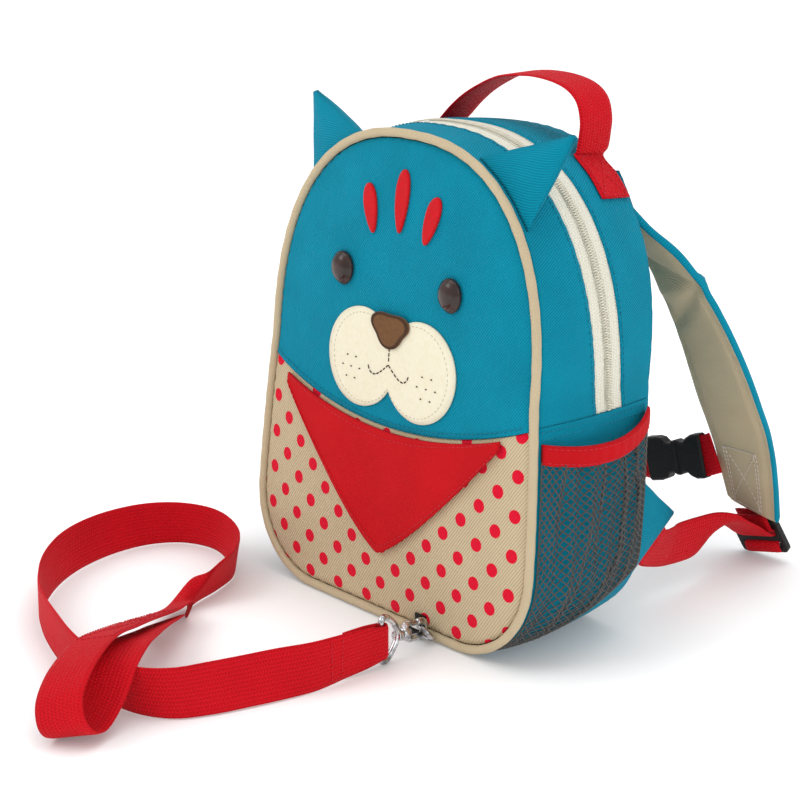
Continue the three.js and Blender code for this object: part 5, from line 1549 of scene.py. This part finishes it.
strap_piece("chest_web_left", "chest_webbing_left",
            [chest_row(mix(-CHEST_REACH, 11.5, k / 10)) for k in range(11)]
            + [buckle_row(-2), buckle_row(4)], steps=4)
strap_piece("chest_web_right", "chest_webbing_right",
            [buckle_row(buckle_long - 4), buckle_row(buckle_long + 1), chest_row(CHEST_REACH)], steps=3)
for half in ("female", "male"):
    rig.slot(dress("buckle_" + half, plastic, bevel=0.6), "black_plastic")


# Swivel snap hook on the tether's end, clipped to the ring that a short tab holds at the bag's
# foot: bright plated wire, a turned collar and ball, and a sprung gate with its hinge lug.
def round_wire(points, radius, closed=False):
    """Rings of a smooth wire through points, with its radius given once or for each point."""
    count, steps, sides = len(points), 8, 16
    sizes = radius if isinstance(radius, list) else [radius] * count
    path = []
    for i in range(count if closed else count - 1):
        near = [(i + n) % count if closed else min(count - 1, max(0, i + n)) for n in (-1, 0, 1, 2)]
        for k in range(steps):
            t = k / steps
            path.append((Vector([catmull(*(points[n][c] for n in near), t) for c in range(3)]),
                         mix(sizes[near[1]], sizes[near[2]], t)))
    if not closed:
        path.append((Vector(points[-1]), sizes[-1]))
    across = Vector((0.31, 0.42, 0.85))
    rings = []
    for i, (centre, size) in enumerate(path):
        after = path[(i + 1) % len(path)][0] if closed else path[min(i + 1, len(path) - 1)][0]
        before = path[i - 1][0] if closed or i else path[0][0]
        along = (after - before).normalized()
        across = (across - along * across.dot(along)).normalized()
        b = along.cross(across)
        rings.append([centre + (across * math.cos(k / sides * math.tau)
                                + b * math.sin(k / sides * math.tau)) * size for k in range(sides)])
    return rings


def metal_piece(name, parts, node, body="pack"):
    """Several lofts in one piece: each part is (rings, closed)."""
    points, faces = [], []
    for rings, closed in parts:
        base, size = len(points), len(rings[0])
        for ring in rings:
            points += ring
        faces += tube_faces(len(rings), size, base, closed)
    piece = mesh_piece(name, points, faces)
    piece.data.materials.append(steel)
    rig.ride(piece, body)
    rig.replaces(piece, node)
    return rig.slot(piece, "bright_steel")


EYE, EYE_HALF, EYE_WIRE = Vector((49, -87.5, 14.7)), 12.6, 1.8
HOOK_BEND, HOOK_REACH, HOOK_WIRE, RING_WIRE = 4.2, 21, 2, 1.5
HOOK_AXIS = Vector((-0.2, 0.97, -0.14)).normalized()
hook_up = (Vector((0, 0, 1)) - HOOK_AXIS * HOOK_AXIS.z).normalized()
neck = EYE + HOOK_AXIS * 15


def on_hook(along, up):
    return neck + HOOK_AXIS * along + hook_up * up


def turned(profile):
    """Rings of a piece turned about the hook's axis, from (along, radius)."""
    side = HOOK_AXIS.cross(hook_up)
    turns = [k / 24 * math.tau for k in range(24)]
    return [[on_hook(a, 0) + (hook_up * math.cos(t) + side * math.sin(t)) * r for t in turns]
            for a, r in profile]


eye_points = [EYE + Vector((0, 0, EYE_HALF * share)) for share in (-0.84, 0, 0.84)]
eye_points += [EYE + Vector((-0.7, 3.4, EYE_HALF)), on_hook(-6, EYE_HALF * 0.72), on_hook(-1, 2.6),
               on_hook(-1, -2.6), on_hook(-6, -EYE_HALF * 0.72 - 0.6),
               EYE + Vector((-0.7, 3.4, -EYE_HALF))]
eye_wire = metal_piece("swivel_eye_wire", [
    (round_wire(eye_points, EYE_WIRE, closed=True), True),
    (turned([(-1.4, 1.5), (-1.4, 2.9), (-1.1, 3.2), (0.2, 3.2), (0.35, 3.0), (0.5, 3.2), (2.3, 3.2),
             (2.6, 2.9), (2.6, 1.5)]), False)], "swivel_eye")
hook_points = [on_hook(6.6, 0), on_hook(9.6, -3.36), on_hook(12.6, -HOOK_BEND), on_hook(18, -HOOK_BEND)]
hook_points += [on_hook(HOOK_REACH + HOOK_BEND * math.cos(a), HOOK_BEND * math.sin(a))
                for a in [math.pi * (k / 4 - 0.5) for k in range(5)]]
hook_points.append(on_hook(17.6, HOOK_BEND))
lug = [[p + hook_up * HOOK_BEND for p in ring]
       for ring in turned([(5.3, 1.2), (5.3, 1.6), (5.6, 1.75), (9.0, 1.75), (9.3, 1.4), (9.3, 0.8)])]
hook_wire = metal_piece("snap_hook_wire", [
    (round_wire(hook_points, [2.2, 2.1, 2.0, 2.0, 2.0, 2.0, 2.0, 2.0, 2.0, 1.8]), False),
    (turned([(2.95, 1.6), (3.1, 2.2), (3.8, 3.2), (5.0, 3.75), (6.4, 3.9), (8.0, 3.7), (9.4, 3.0),
             (10.4, 1.8), (10.7, 0.6)]), False),
    (lug, False)], "snap_hook_body")
gate_profile = [(9.62, 0.3), (9.8, 0.8), (10.2, 1.2), (10.9, 1.4), (15.9, 1.4), (16.6, 1.3), (17.1, 0.9),
                (17.28, 0.35)]
gate_bar = metal_piece("snap_hook_gate_bar",
                       [([[p + hook_up * HOOK_BEND for p in ring] for ring in turned(gate_profile)], False)],
                       "snap_hook_gate", body="gate")
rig.cord(tether, exit=tether_path[0], length=round(tether_along[-1] * MM, 3), diameter=0.0265,
        far_end="object", stiffness="limp", lay="loose", path=tether_path[::2],
        with_pieces=[eye_wire, hook_wire, gate_bar])
ring_top = on_hook(HOOK_REACH + HOOK_BEND - HOOK_WIRE - SEAT - RING_WIRE, 0)
ring_foot = Vector((ring_top.x - 5, ring_top.y + 4.2, 3.2))
ring_rise = Vector((0, ring_top.y - ring_foot.y, ring_top.z - ring_foot.z))
ring_points = [ring_foot + ring_rise * share + Vector((x, 0, 0)) for x, share in (
    (-6, 0), (0, 0), (6, 0), (10, 0.12), (9.5, 0.62), (6, 1), (0, 1), (-5, 0.95), (-9, 0.62), (-10, 0.12))]
metal_piece("d_ring_wire", [(round_wire(ring_points, RING_WIRE, closed=True), True)], "d_ring")
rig.slot(dress("d_ring_tab", plastic, bevel=0.2), "black_plastic")

visual_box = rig.bounds()
with open("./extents.json", "w") as sizes:
    json.dump({"cad": [list(v) for v in cad_box], "visual": [list(v) for v in visual_box]}, sizes)
